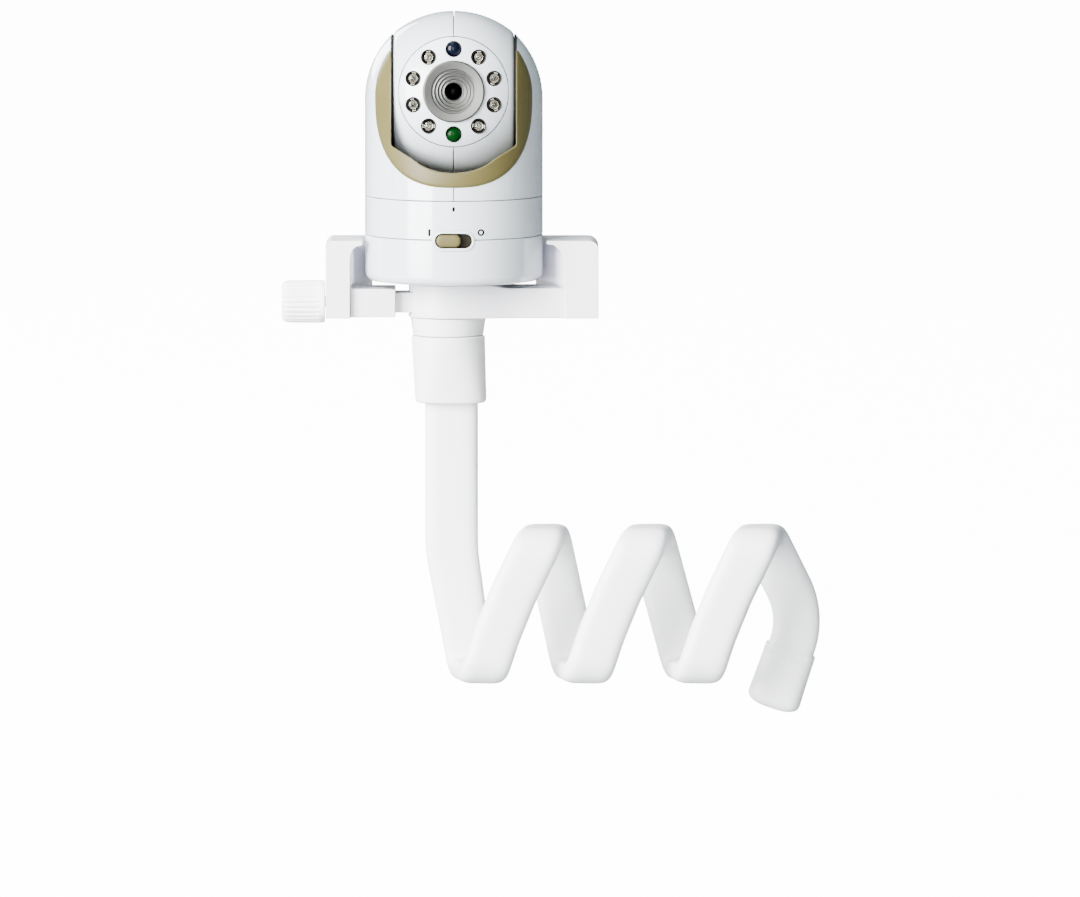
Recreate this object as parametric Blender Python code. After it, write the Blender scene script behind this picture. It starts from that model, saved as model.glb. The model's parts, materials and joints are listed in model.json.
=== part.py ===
"""Baby monitor camera in a clamp holder on a flexible wrap-around arm.

Design figures are millimetres from the middle of the camera's underside: +Z is up,
-Y is the way the lens looks and +X is the lens's left-hand side as it is faced.
Every object is then shifted so that the world origin is the rail-top rest.
"""
import bmesh
import bpy
import math
from mathutils import Matrix, Vector

# ---- driving dimensions, mm ------------------------------------------------------
BODY_R = 37.5            # camera body radius
BASE_SEAM = 19.7         # cup to collar
YOKE_SEAM = 36.1         # collar to turning yoke
HEAD_Z = 79.5            # tilt axis and head centre
DOME_Z = 76.9            # centre of the dome that tops the yoke's ears
SLOT_X = 26.3            # half width of the yoke's opening
LIP = ((0, -31.5), (6, -31.0), (10, -29.9), (13.7, -28.3), (17.3, -25.7), (26.3, -20.6))
HEAD_R = 34.3            # head radius at the middle
HEAD_CROWN = 39.5        # crown radius across the head
HEAD_HALF = 25.4         # half width of the head
LOOK_UP = 4.5            # degrees the lens looks above level at rest
CUP_GAP = 1.2            # head to yoke
FACE_R = 22.9            # round face plate
LED_R = 17.9             # ring of lights round the lens
TRIM_A, TRIM_LOW, TRIM_TOP = 33.1, 37.7, 32.4
ARM_X = -2.4             # swivel and arm line, left of the camera's middle
SCREW_Z = -9.0           # clamp lead screw height
JAW_TOP = 17.7
BAR_TOP, BAR_LOW = -2.5, -15.2
SOCKET_LOW = -51.6
BEND_Z = -80.0           # arm bend axis
BEND_GAP = 1.8           # half gap between the two arm covers
STRAP_W, STRAP_T = 22.0, 9.5
CORE = ((6.0, 0.9), (-6.0, 0.9), (-6.0, -0.9), (6.0, -0.9))   # flat spring-steel strip
RAIL_TOP_Z, RAIL_LOW_Z = -107.1, -163.9   # strap centre lines over and under the rail
RAIL_BACK_Y, RAIL_FRONT_Y = 0.0, -32.0
COIL_X = (12.7, 56.6, 103.6)   # where the strap's front runs start under the rail
CURL = 7.5               # bend radius of the strap round the rail's edges
PAN_X = -24.0            # pan pinion and motor
TILT_ARM = 14.4          # tilt pinion centre from the tilt axis
REST = Vector((39.75, -16.0, RAIL_TOP_Z - STRAP_T / 2))   # world origin

MM = 0.001
COLOURS = {
    "shell": (0.80, 0.82, 0.86), "trim": (0.46, 0.43, 0.30), "face": (0.83, 0.84, 0.87),
    "silver": (0.55, 0.56, 0.58), "glass": (0.01, 0.012, 0.02), "dome": (0.02, 0.03, 0.12),
    "green": (0.0, 0.16, 0.04), "led": (0.35, 0.36, 0.38), "board": (0.02, 0.16, 0.07),
    "metal": (0.60, 0.60, 0.62), "acetal": (0.75, 0.74, 0.70), "dark": (0.03, 0.03, 0.03),
    "clamp": (0.80, 0.79, 0.84), "pad": (0.70, 0.68, 0.80), "arm": (0.86, 0.86, 0.83),
}


def wipe_scene():
    for ob in list(bpy.data.objects):
        bpy.data.objects.remove(ob, do_unlink=True)


def paint(name, colour):
    mat = bpy.data.materials.new(name)
    mat.use_nodes = True
    shader = mat.node_tree.nodes["Principled BSDF"]
    shader.inputs["Base Color"].default_value = (*COLOURS[colour], 1.0)
    shader.inputs["Roughness"].default_value = 0.3 if colour in ("glass", "dome") else 0.45
    shader.inputs["Metallic"].default_value = 1.0 if colour in ("metal", "silver") else 0.0
    return mat


def add(name, shape, colour=None, pivot=(0, 0, 0), smooth=True):
    """Make one closed object from (points, faces) given in design millimetres."""
    pivot = Vector(pivot)
    points, faces = shape
    bm = bmesh.new()
    made = [bm.verts.new((Vector(p) - pivot) * MM) for p in points]
    for face in faces:
        bm.faces.new([made[i] for i in face])
    bmesh.ops.remove_doubles(bm, verts=bm.verts, dist=2e-7)
    bmesh.ops.recalc_face_normals(bm, faces=bm.faces)
    mesh = bpy.data.meshes.new(name)
    bm.to_mesh(mesh)
    bm.free()
    mesh.polygons.foreach_set("use_smooth", [smooth] * len(mesh.polygons))
    if smooth:
        mesh.set_sharp_from_angle(angle=math.radians(35))
    ob = bpy.data.objects.new(name, mesh)
    ob.location = (pivot - REST) * MM
    bpy.context.scene.collection.objects.link(ob)
    if colour:
        mesh.materials.append(paint(name, colour))
    return ob


def join_shapes(*shapes):
    points, faces = [], []
    for pts, fcs in shapes:
        base = len(points)
        points += list(pts)
        faces += [tuple(i + base for i in f) for f in fcs]
    return points, faces


def operate(target, name, shape, operation="DIFFERENCE"):
    """Cut a shape out of a part, or weld it on, with an exact Boolean."""
    tool = add(name, shape, smooth=False)
    tool.hide_render = True
    tool.display_type = "WIRE"
    mod = target.modifiers.new(name, "BOOLEAN")
    mod.operation = operation
    mod.solver = "EXACT"
    mod.object = tool


def skin(rings, closed=False):
    """One surface through rings of equally many points, capped unless it closes."""
    count = len(rings[0])
    points = [p for ring in rings for p in ring]
    faces = []
    for i in range(len(rings) if closed else len(rings) - 1):
        a, b = i * count, ((i + 1) % len(rings)) * count
        for j in range(count):
            k = (j + 1) % count
            faces.append((a + j, a + k, b + k, b + j))
    if not closed:
        faces.append(tuple(range(count - 1, -1, -1)))
        faces.append(tuple(range(len(points) - count, len(points))))
    return points, faces


def turn_point(axis, r, t, angle, centre):
    c, s = r * math.cos(angle), r * math.sin(angle)
    local = {"X": (t, c, s), "Y": (c, t, s), "Z": (c, s, t)}[axis]
    return tuple(local[i] + centre[i] for i in range(3))


def lathe(profile, axis="Z", sides=36, centre=(0, 0, 0)):
    """Turn a closed (radius, distance) outline; outlines on the axis close at a pole."""
    rings = [[turn_point(axis, r, t, 2 * math.pi * k / sides, centre) for k in range(sides)]
             for r, t in profile]
    on_axis = profile[0][0] == 0 and profile[-1][0] == 0
    points, faces = skin(rings, closed=not on_axis)
    if on_axis:
        faces = faces[:-2]
        first, last = 0, len(points) - sides
        keep, out = {}, []
        for i in range(len(points)):
            keep[i] = first if i < sides else last if i >= last else i
        for face in faces:
            slim = []
            for i in face:
                if keep[i] not in slim:
                    slim.append(keep[i])
            if len(slim) > 2:
                out.append(tuple(slim))
        used = sorted({i for f in out for i in f})
        index = {old: new for new, old in enumerate(used)}
        return [points[i] for i in used], [tuple(index[i] for i in f) for f in out]
    return points, faces


def rod(radius, lo, hi, axis="Z", sides=28, centre=(0, 0, 0)):
    return lathe([(0, lo), (radius, lo), (radius, hi), (0, hi)], axis, sides, centre)


def tube(inner, outer, lo, hi, axis="Z", sides=28, centre=(0, 0, 0)):
    return lathe([(inner, lo), (outer, lo), (outer, hi), (inner, hi)], axis, sides, centre)


def prism(outline, lo, hi, plane="XY"):
    place = {"XY": lambda p, t: (p[0], p[1], t), "XZ": lambda p, t: (p[0], t, p[1]),
             "YZ": lambda p, t: (t, p[0], p[1])}[plane]
    return skin([[place(p, lo) for p in outline], [place(p, hi) for p in outline]])


def box(x0, x1, y0, y1, z0, z1):
    return prism([(x0, y0), (x1, y0), (x1, y1), (x0, y1)], z0, z1)


def round_rect(w, h, r, steps=3, cx=0.0, cy=0.0):
    """Rounded rectangle with steps points on each corner; r may reach half of h."""
    pts = []
    for qx, qy, start in ((1, 1, 0), (-1, 1, 90), (-1, -1, 180), (1, -1, 270)):
        for k in range(steps):
            a = math.radians(start + 90 * k / (steps - 1))
            pts.append((cx + qx * (w / 2 - r) + r * math.cos(a),
                        cy + qy * (h / 2 - r) + r * math.sin(a)))
    return pts


def gear_outline(module, teeth, phase, cx=0.0, cy=0.0):
    """Slack-fitting straight-flanked teeth; one tooth is centred on the phase angle."""
    pitch = module * teeth / 2
    rows = ((-0.9, -1.15), (-0.32, 0.8), (0.32, 0.8), (0.9, -1.15))
    pts = []
    for i in range(teeth):
        mid = phase + 2 * math.pi * i / teeth
        for side, height in rows:
            r = pitch + height * module
            a = mid + side * module / r
            pts.append((cx + r * math.cos(a), cy + r * math.sin(a)))
    return pts


def gear(module, teeth, phase, bore, lo, hi, plane="XY", cx=0.0, cy=0.0):
    outer = gear_outline(module, teeth, phase, cx, cy)
    inner = []
    for x, y in outer:
        a = math.atan2(y - cy, x - cx)
        inner.append((cx + bore * math.cos(a), cy + bore * math.sin(a)))
    place = {"XY": lambda p, t: (p[0], p[1], t), "YZ": lambda p, t: (t, p[0], p[1])}[plane]
    ring = lambda pts, t: [place(p, t) for p in pts]
    return skin([ring(outer, lo), ring(outer, hi), ring(inner, hi), ring(inner, lo)], closed=True)


def turned_z(shape, degrees, centre=(0, 0, 0)):
    spin = Matrix.Rotation(math.radians(degrees), 4, "Z")
    c = Vector(centre)
    return [tuple(spin @ (Vector(p) - c) + c) for p in shape[0]], shape[1]


def side_wall(x, z, radius=BODY_R):
    """Front surface of the camera body: a cylinder with a domed top."""
    up = max(0.0, z - DOME_Z)
    return -math.sqrt(max(radius * radius - x * x - up * up, 0.01))


# ---- camera base -----------------------------------------------------------------
def slot_cutter():
    return prism(round_rect(18.6, 9.2, 4.55, 5, 0.0, 19.4), -41.0, -30.0, "XZ")


def rear_spot(degrees, radius):
    """A place on the rear wall, degrees round from straight back."""
    a = math.radians(90 + degrees)
    return radius * math.cos(a), radius * math.sin(a)


def rear_rod(radius, near, far, degrees, z, sides=24):
    return turned_z(rod(radius, near, far, "Y", sides, (0, 0, z)), degrees)


def base_cup():
    cup = add("base_cup", lathe([
        (0, 0.3), (23.7, 0.3), (23.7, 1.6), (30.3, 1.6), (30.3, 0.3), (34.5, 0.3),
        (36.1, 0.75), (37.1, 1.9), (BODY_R, 4.0), (BODY_R, BASE_SEAM - 0.15),
        (BODY_R - 2, BASE_SEAM - 0.15), (BODY_R - 2, 4.2), (34.6, 3.2), (0, 3.2)],
        sides=46), "shell")
    operate(cup, "cut_cup_slot", slot_cutter())
    for side in (-1, 1):
        at = (18.0 * side, 0, 0)
        operate(cup, f"cut_foot_screw_{1 if side < 0 else 2}", lathe([
            (0, -1.0), (3.3, -1.0), (3.3, 1.9), (1.7, 1.9), (1.7, 5.0), (0, 5.0)],
            sides=24, centre=at))
    grille = [box(-5.5, 5.5, 33.0, 40.0, z, z + 1.1) for z in (9.4, 11.8, 14.2, 16.6)]
    operate(cup, "cut_grille", join_shapes(*grille))
    operate(cup, "cut_jack", rear_rod(4.5, 33.0, 40.0, 32, 11.5))
    operate(cup, "cut_pair", rear_rod(3.3, 33.0, 40.0, -32, 11.5))


def base_collar():
    collar = add("base_collar", lathe([
        (BODY_R, BASE_SEAM + 0.15), (BODY_R, YOKE_SEAM - 0.15), (BODY_R - 2, YOKE_SEAM - 0.15),
        (BODY_R - 2, 29.5), (12.3, 29.5), (12.3, 27.5), (BODY_R - 2, 27.5),
        (BODY_R - 2, BASE_SEAM + 0.15)], sides=46), "shell")
    operate(collar, "cut_collar_slot", slot_cutter())
    oval = [(0.5 * math.cos(math.radians(a)), 32.8 + 1.05 * math.sin(math.radians(a)))
            for a in range(18, 378, 36)]
    hole = prism(oval, -41.0, -34.0, "XZ")
    operate(collar, "cut_mic_hole", hole)


def switch_tray():
    """Recessed tray whose rim follows the round wall."""
    outer = round_rect(18.0, 8.6, 4.25, 5, 0.0, 19.4)
    inner = round_rect(15.4, 5.9, 2.9, 5, 0.0, 19.4)
    front = [(x, side_wall(x, z), z) for x, z in outer]
    lip = [(x, side_wall(x, z), z) for x, z in inner]
    floor = [(x, -33.9, z) for x, z in inner]
    back = [(x, -32.3, z) for x, z in outer]
    add("switch_body", skin([back, front, lip, floor]), "shell")
    slider = prism(round_rect(10.4, 5.2, 2.55, 5, -2.1, 19.4), -37.4, -34.2, "XZ")
    add("switch_slider", slider, "trim", pivot=(-2.1, -36.0, 19.4))


def base_fittings():
    add("base_foot_ring", tube(24.0, 30.0, 0.0, 1.3, sides=28), "dark")
    for side in (-1, 1):
        add(f"base_screw_{1 if side < 0 else 2}", lathe([
            (0, 0.6), (3.0, 0.6), (3.0, 1.6), (1.3, 1.6), (1.3, 4.6), (0, 4.6)],
            sides=24, centre=(18.0 * side, 0, 0)), "metal")
    add("main_board", rod(33.0, 5.0, 6.6, sides=28), "board")
    jack = lathe([(0, 28.0), (4.1, 28.0), (4.1, 37.3), (2.7, 37.3), (2.7, 30.0), (0, 30.0)],
                 "Y", 24, (0, 0, 11.5))
    add("power_jack", turned_z(jack, 32), "dark")
    button = lathe([(0, 31.5), (4.2, 31.5), (4.2, 33.6), (2.9, 33.6), (2.9, 38.4), (0, 38.4)],
                   "Y", 24, (0, 0, 11.5))
    x, y = rear_spot(-32, 38.4)
    add("pair_button", turned_z(button, -32), "shell", pivot=(x, y, 11.5))
    add("speaker", lathe([(0, 25.0), (5.0, 25.0), (5.0, 28.0), (6.4, 28.0), (6.4, 32.0),
                          (0, 31.2)], "Y", 20, (0, 0, 13.6)), "dark")
    add("microphone", rod(1.7, -35.0, -31.4, "Y", 20, (0, 0, 32.8)), "metal")
    add("pan_motor", lathe([(0, 8.0), (8.5, 8.0), (8.5, 20.4), (3.0, 20.4), (3.0, 21.5),
                            (1.2, 21.5), (1.2, 26.2), (0, 26.2)], sides=28,
                           centre=(PAN_X, 0, 0)), "metal")
    add("pan_bush", lathe([(10.0, 26.2), (12.0, 26.2), (12.0, 29.8), (15.0, 29.8),
                           (15.0, 31.3), (12.0, 31.3), (12.0, 36.2), (10.0, 36.2)],
                          sides=28), "acetal")
    add("pan_pinion", gear(1.5, 8, 0.0, 1.5, 21.9, 26.0, cx=PAN_X), "acetal",
        pivot=(PAN_X, 0, 24.0))


# ---- yoke ------------------------------------------------------------------------
def head_radius(x):
    return HEAD_R - (HEAD_CROWN - math.sqrt(HEAD_CROWN ** 2 - x * x))


def lip_height(x):
    """Height of the opening's lower edge, from the head centre."""
    x = abs(x)
    for (x0, z0), (x1, z1) in zip(LIP, LIP[1:]):
        if x <= x1:
            return z0 + (z1 - z0) * (x - x0) / (x1 - x0)
    return LIP[-1][1]


def opening_outline():
    """U-shaped opening seen from the front: shallow bowl below, straight sides above."""
    right = [(x, HEAD_Z + z) for x, z in reversed(LIP)]
    left = [(-x, HEAD_Z + z) for x, z in LIP[1:]]
    return [(SLOT_X, HEAD_Z + 60)] + right + left + [(-SLOT_X, HEAD_Z + 60)]


def trim_pairs(out, inn, steps=14):
    """Matching outer and inner points of the U trim, right tip to left tip."""
    pairs = []
    for k in range(-steps, steps + 1):
        f = k / steps
        s = 1 if f >= 0 else -1
        u = abs(f)
        if u > 0.62:
            v = (u - 0.62) / 0.38
            z = HEAD_Z + v * 18.9
            a = TRIM_A * math.sqrt(max(1 - ((z - HEAD_Z) / TRIM_TOP) ** 2, 0)) + out
            zi = HEAD_Z - 11.0 + v * 29.9
            pairs.append(((s * a, z), (s * (SLOT_X + inn), zi)))
        else:
            w = u / 0.62
            ang = w * math.pi / 2
            n = 2 / 2.62
            x = (TRIM_A + out) * math.sin(ang) ** n
            z = HEAD_Z - (TRIM_LOW + out) * math.cos(ang) ** n
            part = min(w / 0.72, 1.0)
            xi, zi = part * (SLOT_X + inn), HEAD_Z + lip_height(part * SLOT_X) - inn
            if w > 0.72:
                zi += (w - 0.72) / 0.28 * (HEAD_Z - 11.0 - zi)
            pairs.append(((s * x, z), (s * xi, zi)))
    return pairs


def trim_plate(r_in, r_out, out=0.0, inn=0.0):
    rings = []
    for (xo, zo), (xi, zi) in trim_pairs(out, inn):
        mid = ((xo + xi) / 2, (zo + zi) / 2)
        line = [(xo, zo), mid, (xi, zi)]
        ring = [(x, side_wall(x, z, r_out), z) for x, z in line]
        ring += [(x, side_wall(x, z, r_in), z) for x, z in reversed(line)]
        rings.append(ring)
    return skin(rings)


def capsule():
    prof = [(0, YOKE_SEAM + 0.15), (BODY_R, YOKE_SEAM + 0.15), (BODY_R, DOME_Z)]
    for k in range(1, 9):
        a = math.radians(90 * k / 9)
        prof.append((BODY_R * math.cos(a), DOME_Z + BODY_R * math.sin(a)))
    prof.append((0, DOME_Z + BODY_R))
    return lathe(prof, sides=46)


def head_hollow():
    prof = [(0, -SLOT_X)]
    for k in range(9):
        x = -SLOT_X + 2 * SLOT_X * k / 8
        prof.append((head_radius(x) + CUP_GAP, x))
    prof.append((0, SLOT_X))
    return lathe(prof, "X", 36, (0, 0, HEAD_Z))


def yoke_shells():
    for side, name in ((-1, "yoke_left"), (1, "yoke_right")):
        shell = add(name, capsule(), "shell")
        x0, x1 = (-50, 0.15) if side > 0 else (-0.15, 50)
        operate(shell, f"cut_{name}_half", box(x0, x1, -50, 50, 30, 130))
        operate(shell, f"cut_{name}_mouth", prism(opening_outline(), -45, 45, "XZ"))
        operate(shell, f"cut_{name}_cup", head_hollow())
        operate(shell, f"cut_{name}_floor", rod(35.5, 30.0, 39.4, sides=28))
        operate(shell, f"cut_{name}_trim", trim_plate(36.0, 40.0, 0.3, -6.0))
        operate(shell, f"cut_{name}_pin", rod(4.3, 20 * side, 33.0 * side, "X", 24, (0, 0, HEAD_Z)))


def yoke_fittings():
    add("yoke_trim", trim_plate(36.3, 37.8), "trim")
    add("yoke_floor", lathe([
        (6.5, 20.6), (9.7, 20.6), (9.7, 36.6), (35.2, 36.6), (35.2, 39.1), (6.5, 39.1)],
        sides=28), "shell")
    add("pan_gear", gear(1.5, 24, math.radians(7.5), 10.0, 22.5, 25.7), "acetal")
    add("pan_retaining_ring", tube(10.0, 12.2, 20.7, 22.2, sides=28), "metal")
    for side, name in ((-1, "tilt_stub_left"), (1, "tilt_stub_right")):
        near, far = sorted((18.6 * side, 32.6 * side))
        add(name, lathe([(0, near), (4.0, near), (4.0, far), (0, far)], "X", 24,
                        (0, 0, HEAD_Z)), "metal")
    shape = gear(1.2, 16, math.radians(-45 + 11.25), 4.3, 20.0, 22.4, "YZ", 0.0, HEAD_Z)
    add("tilt_gear", shape, "acetal")


# ---- head ------------------------------------------------------------------------
def head_half_profile(side):
    outer = [(head_radius(x), x) for x in (0.15, 7, 14, 20)]
    edge = head_radius(22.9)
    outer += [(edge, 22.9), (edge - 0.9, 24.5), (edge - 2.9, HEAD_HALF)]
    inner = [(4.4, HEAD_HALF), (4.4, 23.4), (edge - 3.2, 23.4)]
    inner += [(head_radius(x) - 2.0, x) for x in (21, 14, 7, 0.15)]
    return [(r, x * side) for r, x in outer + inner]


def head_skin(x, dz, sink=0.0):
    r = head_radius(x) - sink
    return -math.sqrt(max(r * r - dz * dz, 0.01))


def looking_up(shape):
    """Turn a face piece about the tilt axis to where the lens looks at rest."""
    centre = Vector((0, 0, HEAD_Z))
    turn = Matrix.Rotation(math.radians(-LOOK_UP), 4, "X")
    return [tuple(turn @ (Vector(p) - centre) + centre) for p in shape[0]], shape[1]


def led_spots():
    """Ten places round the lens, clockwise from the top."""
    for k in range(10):
        a = math.radians(90 - 36 * k)
        yield k, LED_R * math.cos(a), LED_R * math.sin(a)


def head_shells():
    for side, name in ((-1, "head_left"), (1, "head_right")):
        shell = add(name, lathe(head_half_profile(side), "X", 36, (0, 0, HEAD_Z)), "shell",
                    pivot=(0, 0, HEAD_Z))
        hole = rod(FACE_R + 0.3, -40, -15, "Y", 36, (0, 0, HEAD_Z))
        operate(shell, f"cut_{name}_face", looking_up(hole))


def face_plate():
    rings = []
    for sink, radii in ((0.0, (13.0, 18.0, FACE_R)), (2.0, (FACE_R, 18.0, 13.0))):
        for r in radii:
            ring = []
            for k in range(36):
                a = 2 * math.pi * k / 36
                x, dz = r * math.cos(a), r * math.sin(a)
                ring.append((x, head_skin(x, dz, sink), HEAD_Z + dz))
            rings.append(ring)
    plate = add("face_plate", looking_up(skin(rings, closed=True)), "face", pivot=(0, 0, HEAD_Z))
    holes = [rod(3.3 if k not in (0, 5) else 3.5, -36, -20, "Y", 12, (x, 0, HEAD_Z + z))
             for k, x, z in led_spots()]
    operate(plate, "cut_lights", looking_up(join_shapes(*holes)))


def lights():
    names = {0: ("light_sensor", "dome", 3.2), 5: ("status_led", "green", 3.2)}
    count = 0
    for k, x, dz in led_spots():
        if k in names:
            name, colour, r = names[k]
        else:
            count += 1
            name, colour, r = f"ir_led_{count}", "led", 3.0
        front = head_skin(x, dz)
        prof = [(0, -24.0), (r, -24.0), (r, front + 1.4), (0.75 * r, front + 0.6), (0, front + 0.2)]
        lamp = looking_up(lathe(prof, "Y", 12, (x, 0, HEAD_Z + dz)))
        add(name, lamp, colour, pivot=(0, 0, HEAD_Z))


def lens():
    centre, pivot = (0, 0, HEAD_Z), (0, 0, HEAD_Z)
    hood = [(12.7, -25.5), (12.7, -32.0), (12.3, -32.3), (8.9, -32.3), (8.5, -31.0), (6.9, -31.0),
            (6.5, -29.3), (4.9, -29.3), (3.8, -27.9), (3.6, -26.9), (8.6, -26.9), (8.6, -25.5)]
    front = looking_up(([(0, -29.0, HEAD_Z)], []))[0][0]
    add("lens_hood", looking_up(lathe(hood, "Y", 28, centre)), "silver", pivot=front)
    barrel = [(0, -20.0), (8.0, -20.0), (8.0, -26.5), (3.9, -26.5), (3.9, -24.0), (0, -24.0)]
    add("lens_barrel", looking_up(lathe(barrel, "Y", 24, centre)), "dark", pivot=pivot)
    glass = [(0, -24.3), (3.5, -24.3), (3.5, -26.0), (2.0, -26.6), (0, -26.8)]
    add("lens_glass", looking_up(lathe(glass, "Y", 24, centre)), "glass", pivot=pivot)
    board = looking_up(box(-13, 13, -19.4, -18.0, HEAD_Z - 10, HEAD_Z + 10))
    add("sensor_board", board, "board", pivot=pivot)
    board = looking_up(tube(14.0, 21.2, -23.6, -22.4, "Y", 28, centre))
    add("led_board", board, "board", pivot=pivot)
    y, z = TILT_ARM * math.sqrt(0.5), HEAD_Z - TILT_ARM * math.sqrt(0.5)
    motor = [(0, 3.0), (7.4, 3.0), (7.4, 18.2), (2.4, 18.2), (2.4, 19.2), (1.0, 19.2),
             (1.0, 22.8), (0, 22.8)]
    add("tilt_motor", lathe(motor, "X", 24, (0, y, z)), "metal", pivot=pivot)
    pinion = gear(1.2, 8, math.radians(135), 1.3, 19.6, 22.6, "YZ", y, z)
    add("tilt_pinion", pinion, "acetal", pivot=(21.1, y, z))


# ---- clamp holder ----------------------------------------------------------------
def clamp_body():
    jaw = [(47.3, -14.5), (60.4, -14.5), (61.0, -13.9), (61.0, 13.0), (56.5, 18.0), (34.2, 18.0),
           (42.65, 2.0)]
    body = add("clamp_body", prism(jaw, BAR_LOW, JAW_TOP), "clamp")
    operate(body, "weld_bar", box(ARM_X, 52.0, -12, 12, BAR_LOW, BAR_TOP), "UNION")
    operate(body, "weld_boss", rod(16.8, BAR_LOW, BAR_TOP, "Z", 32, (ARM_X, 0, 0)), "UNION")
    lip = [(42.2, -14.5), (52.0, -14.5), (52.0, 1.0), (42.9, 1.0)]
    operate(body, "weld_lip", prism(lip, 15.9, JAW_TOP), "UNION")
    corner = [(70, 13.7)] + [(57.0 + 4 * math.cos(math.radians(a)),
                              13.7 + 4 * math.sin(math.radians(a))) for a in range(0, 91, 15)]
    corner += [(57.0, 30), (70, 30)]
    operate(body, "cut_jaw_corner", prism(corner, -20, 24, "XZ"))
    operate(body, "cut_channel", box(-30.0, 26.0, -7.3, 7.3, -13.5, -4.5))


def clamp_fittings():
    pad = lambda s: [(s * x, y) for x, y in ((41.64, 2.09), (42.26, 2.42), (34.33, 17.35),
                                             (33.71, 17.02))]
    add("jaw_pad_right", prism(pad(1), 1.0, 14.0), "pad")
    add("jaw_pad_left", prism(pad(-1), 1.0, 14.0), "pad", pivot=(-45.0, 0, SCREW_Z))
    add("seat_pad", rod(14.3, -2.2, -0.4, sides=40), "pad")
    nut = add("clamp_nut", box(-10, -2, -5.0, 5.0, -11.8, -4.8), "metal")
    operate(nut, "cut_nut", rod(2.7, -15, 3, "X", 24, (0, 0, SCREW_Z)))
    add("swivel_collar", lathe([
        (5.3, -22.9), (14.7, -22.9), (15.1, -22.5), (15.8, -15.5), (7.5, -15.5), (7.5, -18.2),
        (5.3, -18.2)], sides=36, centre=(ARM_X, 0, 0)), "arm")


def moving_jaw():
    outline = [(-53.5, -14.5), (-43.7, -14.5), (-42.65, 2.0), (-34.2, 18.0), (-50.5, 18.0),
               (-54.1, 14.0), (-54.1, -13.9)]
    pivot = (-45.0, 0, SCREW_Z)
    jaw = add("clamp_jaw", prism(outline, BAR_LOW, JAW_TOP), "clamp", pivot=pivot)
    operate(jaw, "weld_block", box(-47.0, -24.9, -11.5, 11.5, -14.9, -2.9), "UNION")
    operate(jaw, "weld_tongue", box(-26.0, 25.0, -7.0, 7.0, -13.2, -4.8), "UNION")
    lip = [(-39.4, -14.5), (-48.0, -14.5), (-48.0, 1.0), (-40.9, 1.0)]
    operate(jaw, "weld_jaw_lip", prism(lip, 15.9, JAW_TOP), "UNION")
    corner = [(-70, 14.2)] + [(-50.6 - 3.5 * math.cos(math.radians(a)),
                               14.2 + 3.5 * math.sin(math.radians(a))) for a in range(0, 91, 15)]
    corner += [(-50.6, 30), (-70, 30)]
    operate(jaw, "cut_moving_corner", prism(corner, -20, 24, "XZ"))
    operate(jaw, "cut_tongue", box(-23.5, 30.0, -5.3, 5.3, -12.1, 0.0))
    operate(jaw, "cut_screw_way", rod(2.7, -60, -20, "X", 24, (0, 0, SCREW_Z)))


def knob():
    pivot = (-63.0, 0, SCREW_Z)
    sides = 36
    rings = []
    outer = ((-72.6, 5.6, 0.0), (-72.1, 7.2, 0.5), (-71.0, 8.3, 1.0), (-69.6, 8.7, 1.0),
             (-57.4, 8.9, 1.0), (-56.8, 8.9, 0.0), (-54.5, 8.9, 0.0))
    for x, r, depth in outer:
        ring = []
        for k in range(sides):
            a = 2 * math.pi * k / sides
            dip = 0.75 * (1 - abs(math.cos(6 * a))) ** 2 * depth
            ring.append((x, (r - dip) * math.cos(a), SCREW_Z + (r - dip) * math.sin(a)))
        rings.append(ring)
    for x in (-54.5, -62.0):
        rings.append([turn_point("X", 2.7, x, 2 * math.pi * k / sides, (0, 0, SCREW_Z))
                      for k in range(sides)])
    add("clamp_knob", skin(rings), "clamp", pivot=pivot)
    add("clamp_screw", rod(2.4, -61.7, 22.0, "X", 24, (0, 0, SCREW_Z)), "metal", pivot=pivot)


# ---- arm -------------------------------------------------------------------------
def rounded_path(nodes, steps=3):
    """Points and directions along a 3-D polyline with its corners rounded.

    Each node is x, y, z and the radius to bend to there.
    """
    spots = [Vector(n[:3]) for n in nodes]
    path = [(spots[0], (spots[1] - spots[0]).normalized())]
    for i in range(1, len(nodes) - 1):
        b, radius = spots[i], nodes[i][3]
        u, v = (spots[i - 1] - b).normalized(), (spots[i + 1] - b).normalized()
        half = u.angle(v) / 2
        count = max(1, round((math.pi - 2 * half) / (math.pi / 2) * steps))
        mid = b + (u + v).normalized() * (radius / math.sin(half))
        lo, hi = b + u * (radius / math.tan(half)) - mid, b + v * (radius / math.tan(half)) - mid
        for k in range(count + 1):
            f = k / count
            arm = lo.slerp(hi, f).normalized()
            along = -u if k == 0 else v if k == count else (-u).slerp(v, f).normalized()
            path.append((mid + arm * radius, along))
    path.append((spots[-1], (spots[-1] - spots[-2]).normalized()))
    return path


def section_frames(path):
    frames = []
    for p, along in path:
        wide = (Vector((1, 0, 0)) - along * along.x).normalized()
        frames.append((p, wide, along.cross(wide)))
    return frames


def sweep(frames, outline):
    return [[tuple(p + wide * u + thick * v) for u, v in outline] for p, wide, thick in frames]


def strap(path, channel=True):
    frames = section_frames(path)
    outer = sweep(frames, round_rect(STRAP_W, STRAP_T, 2.6, 2))
    if not channel:
        return skin(outer)
    inner = sweep(frames, round_rect(14.4, 4.8, 0.4, 2))
    return skin(outer + inner[::-1], closed=True)


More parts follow.
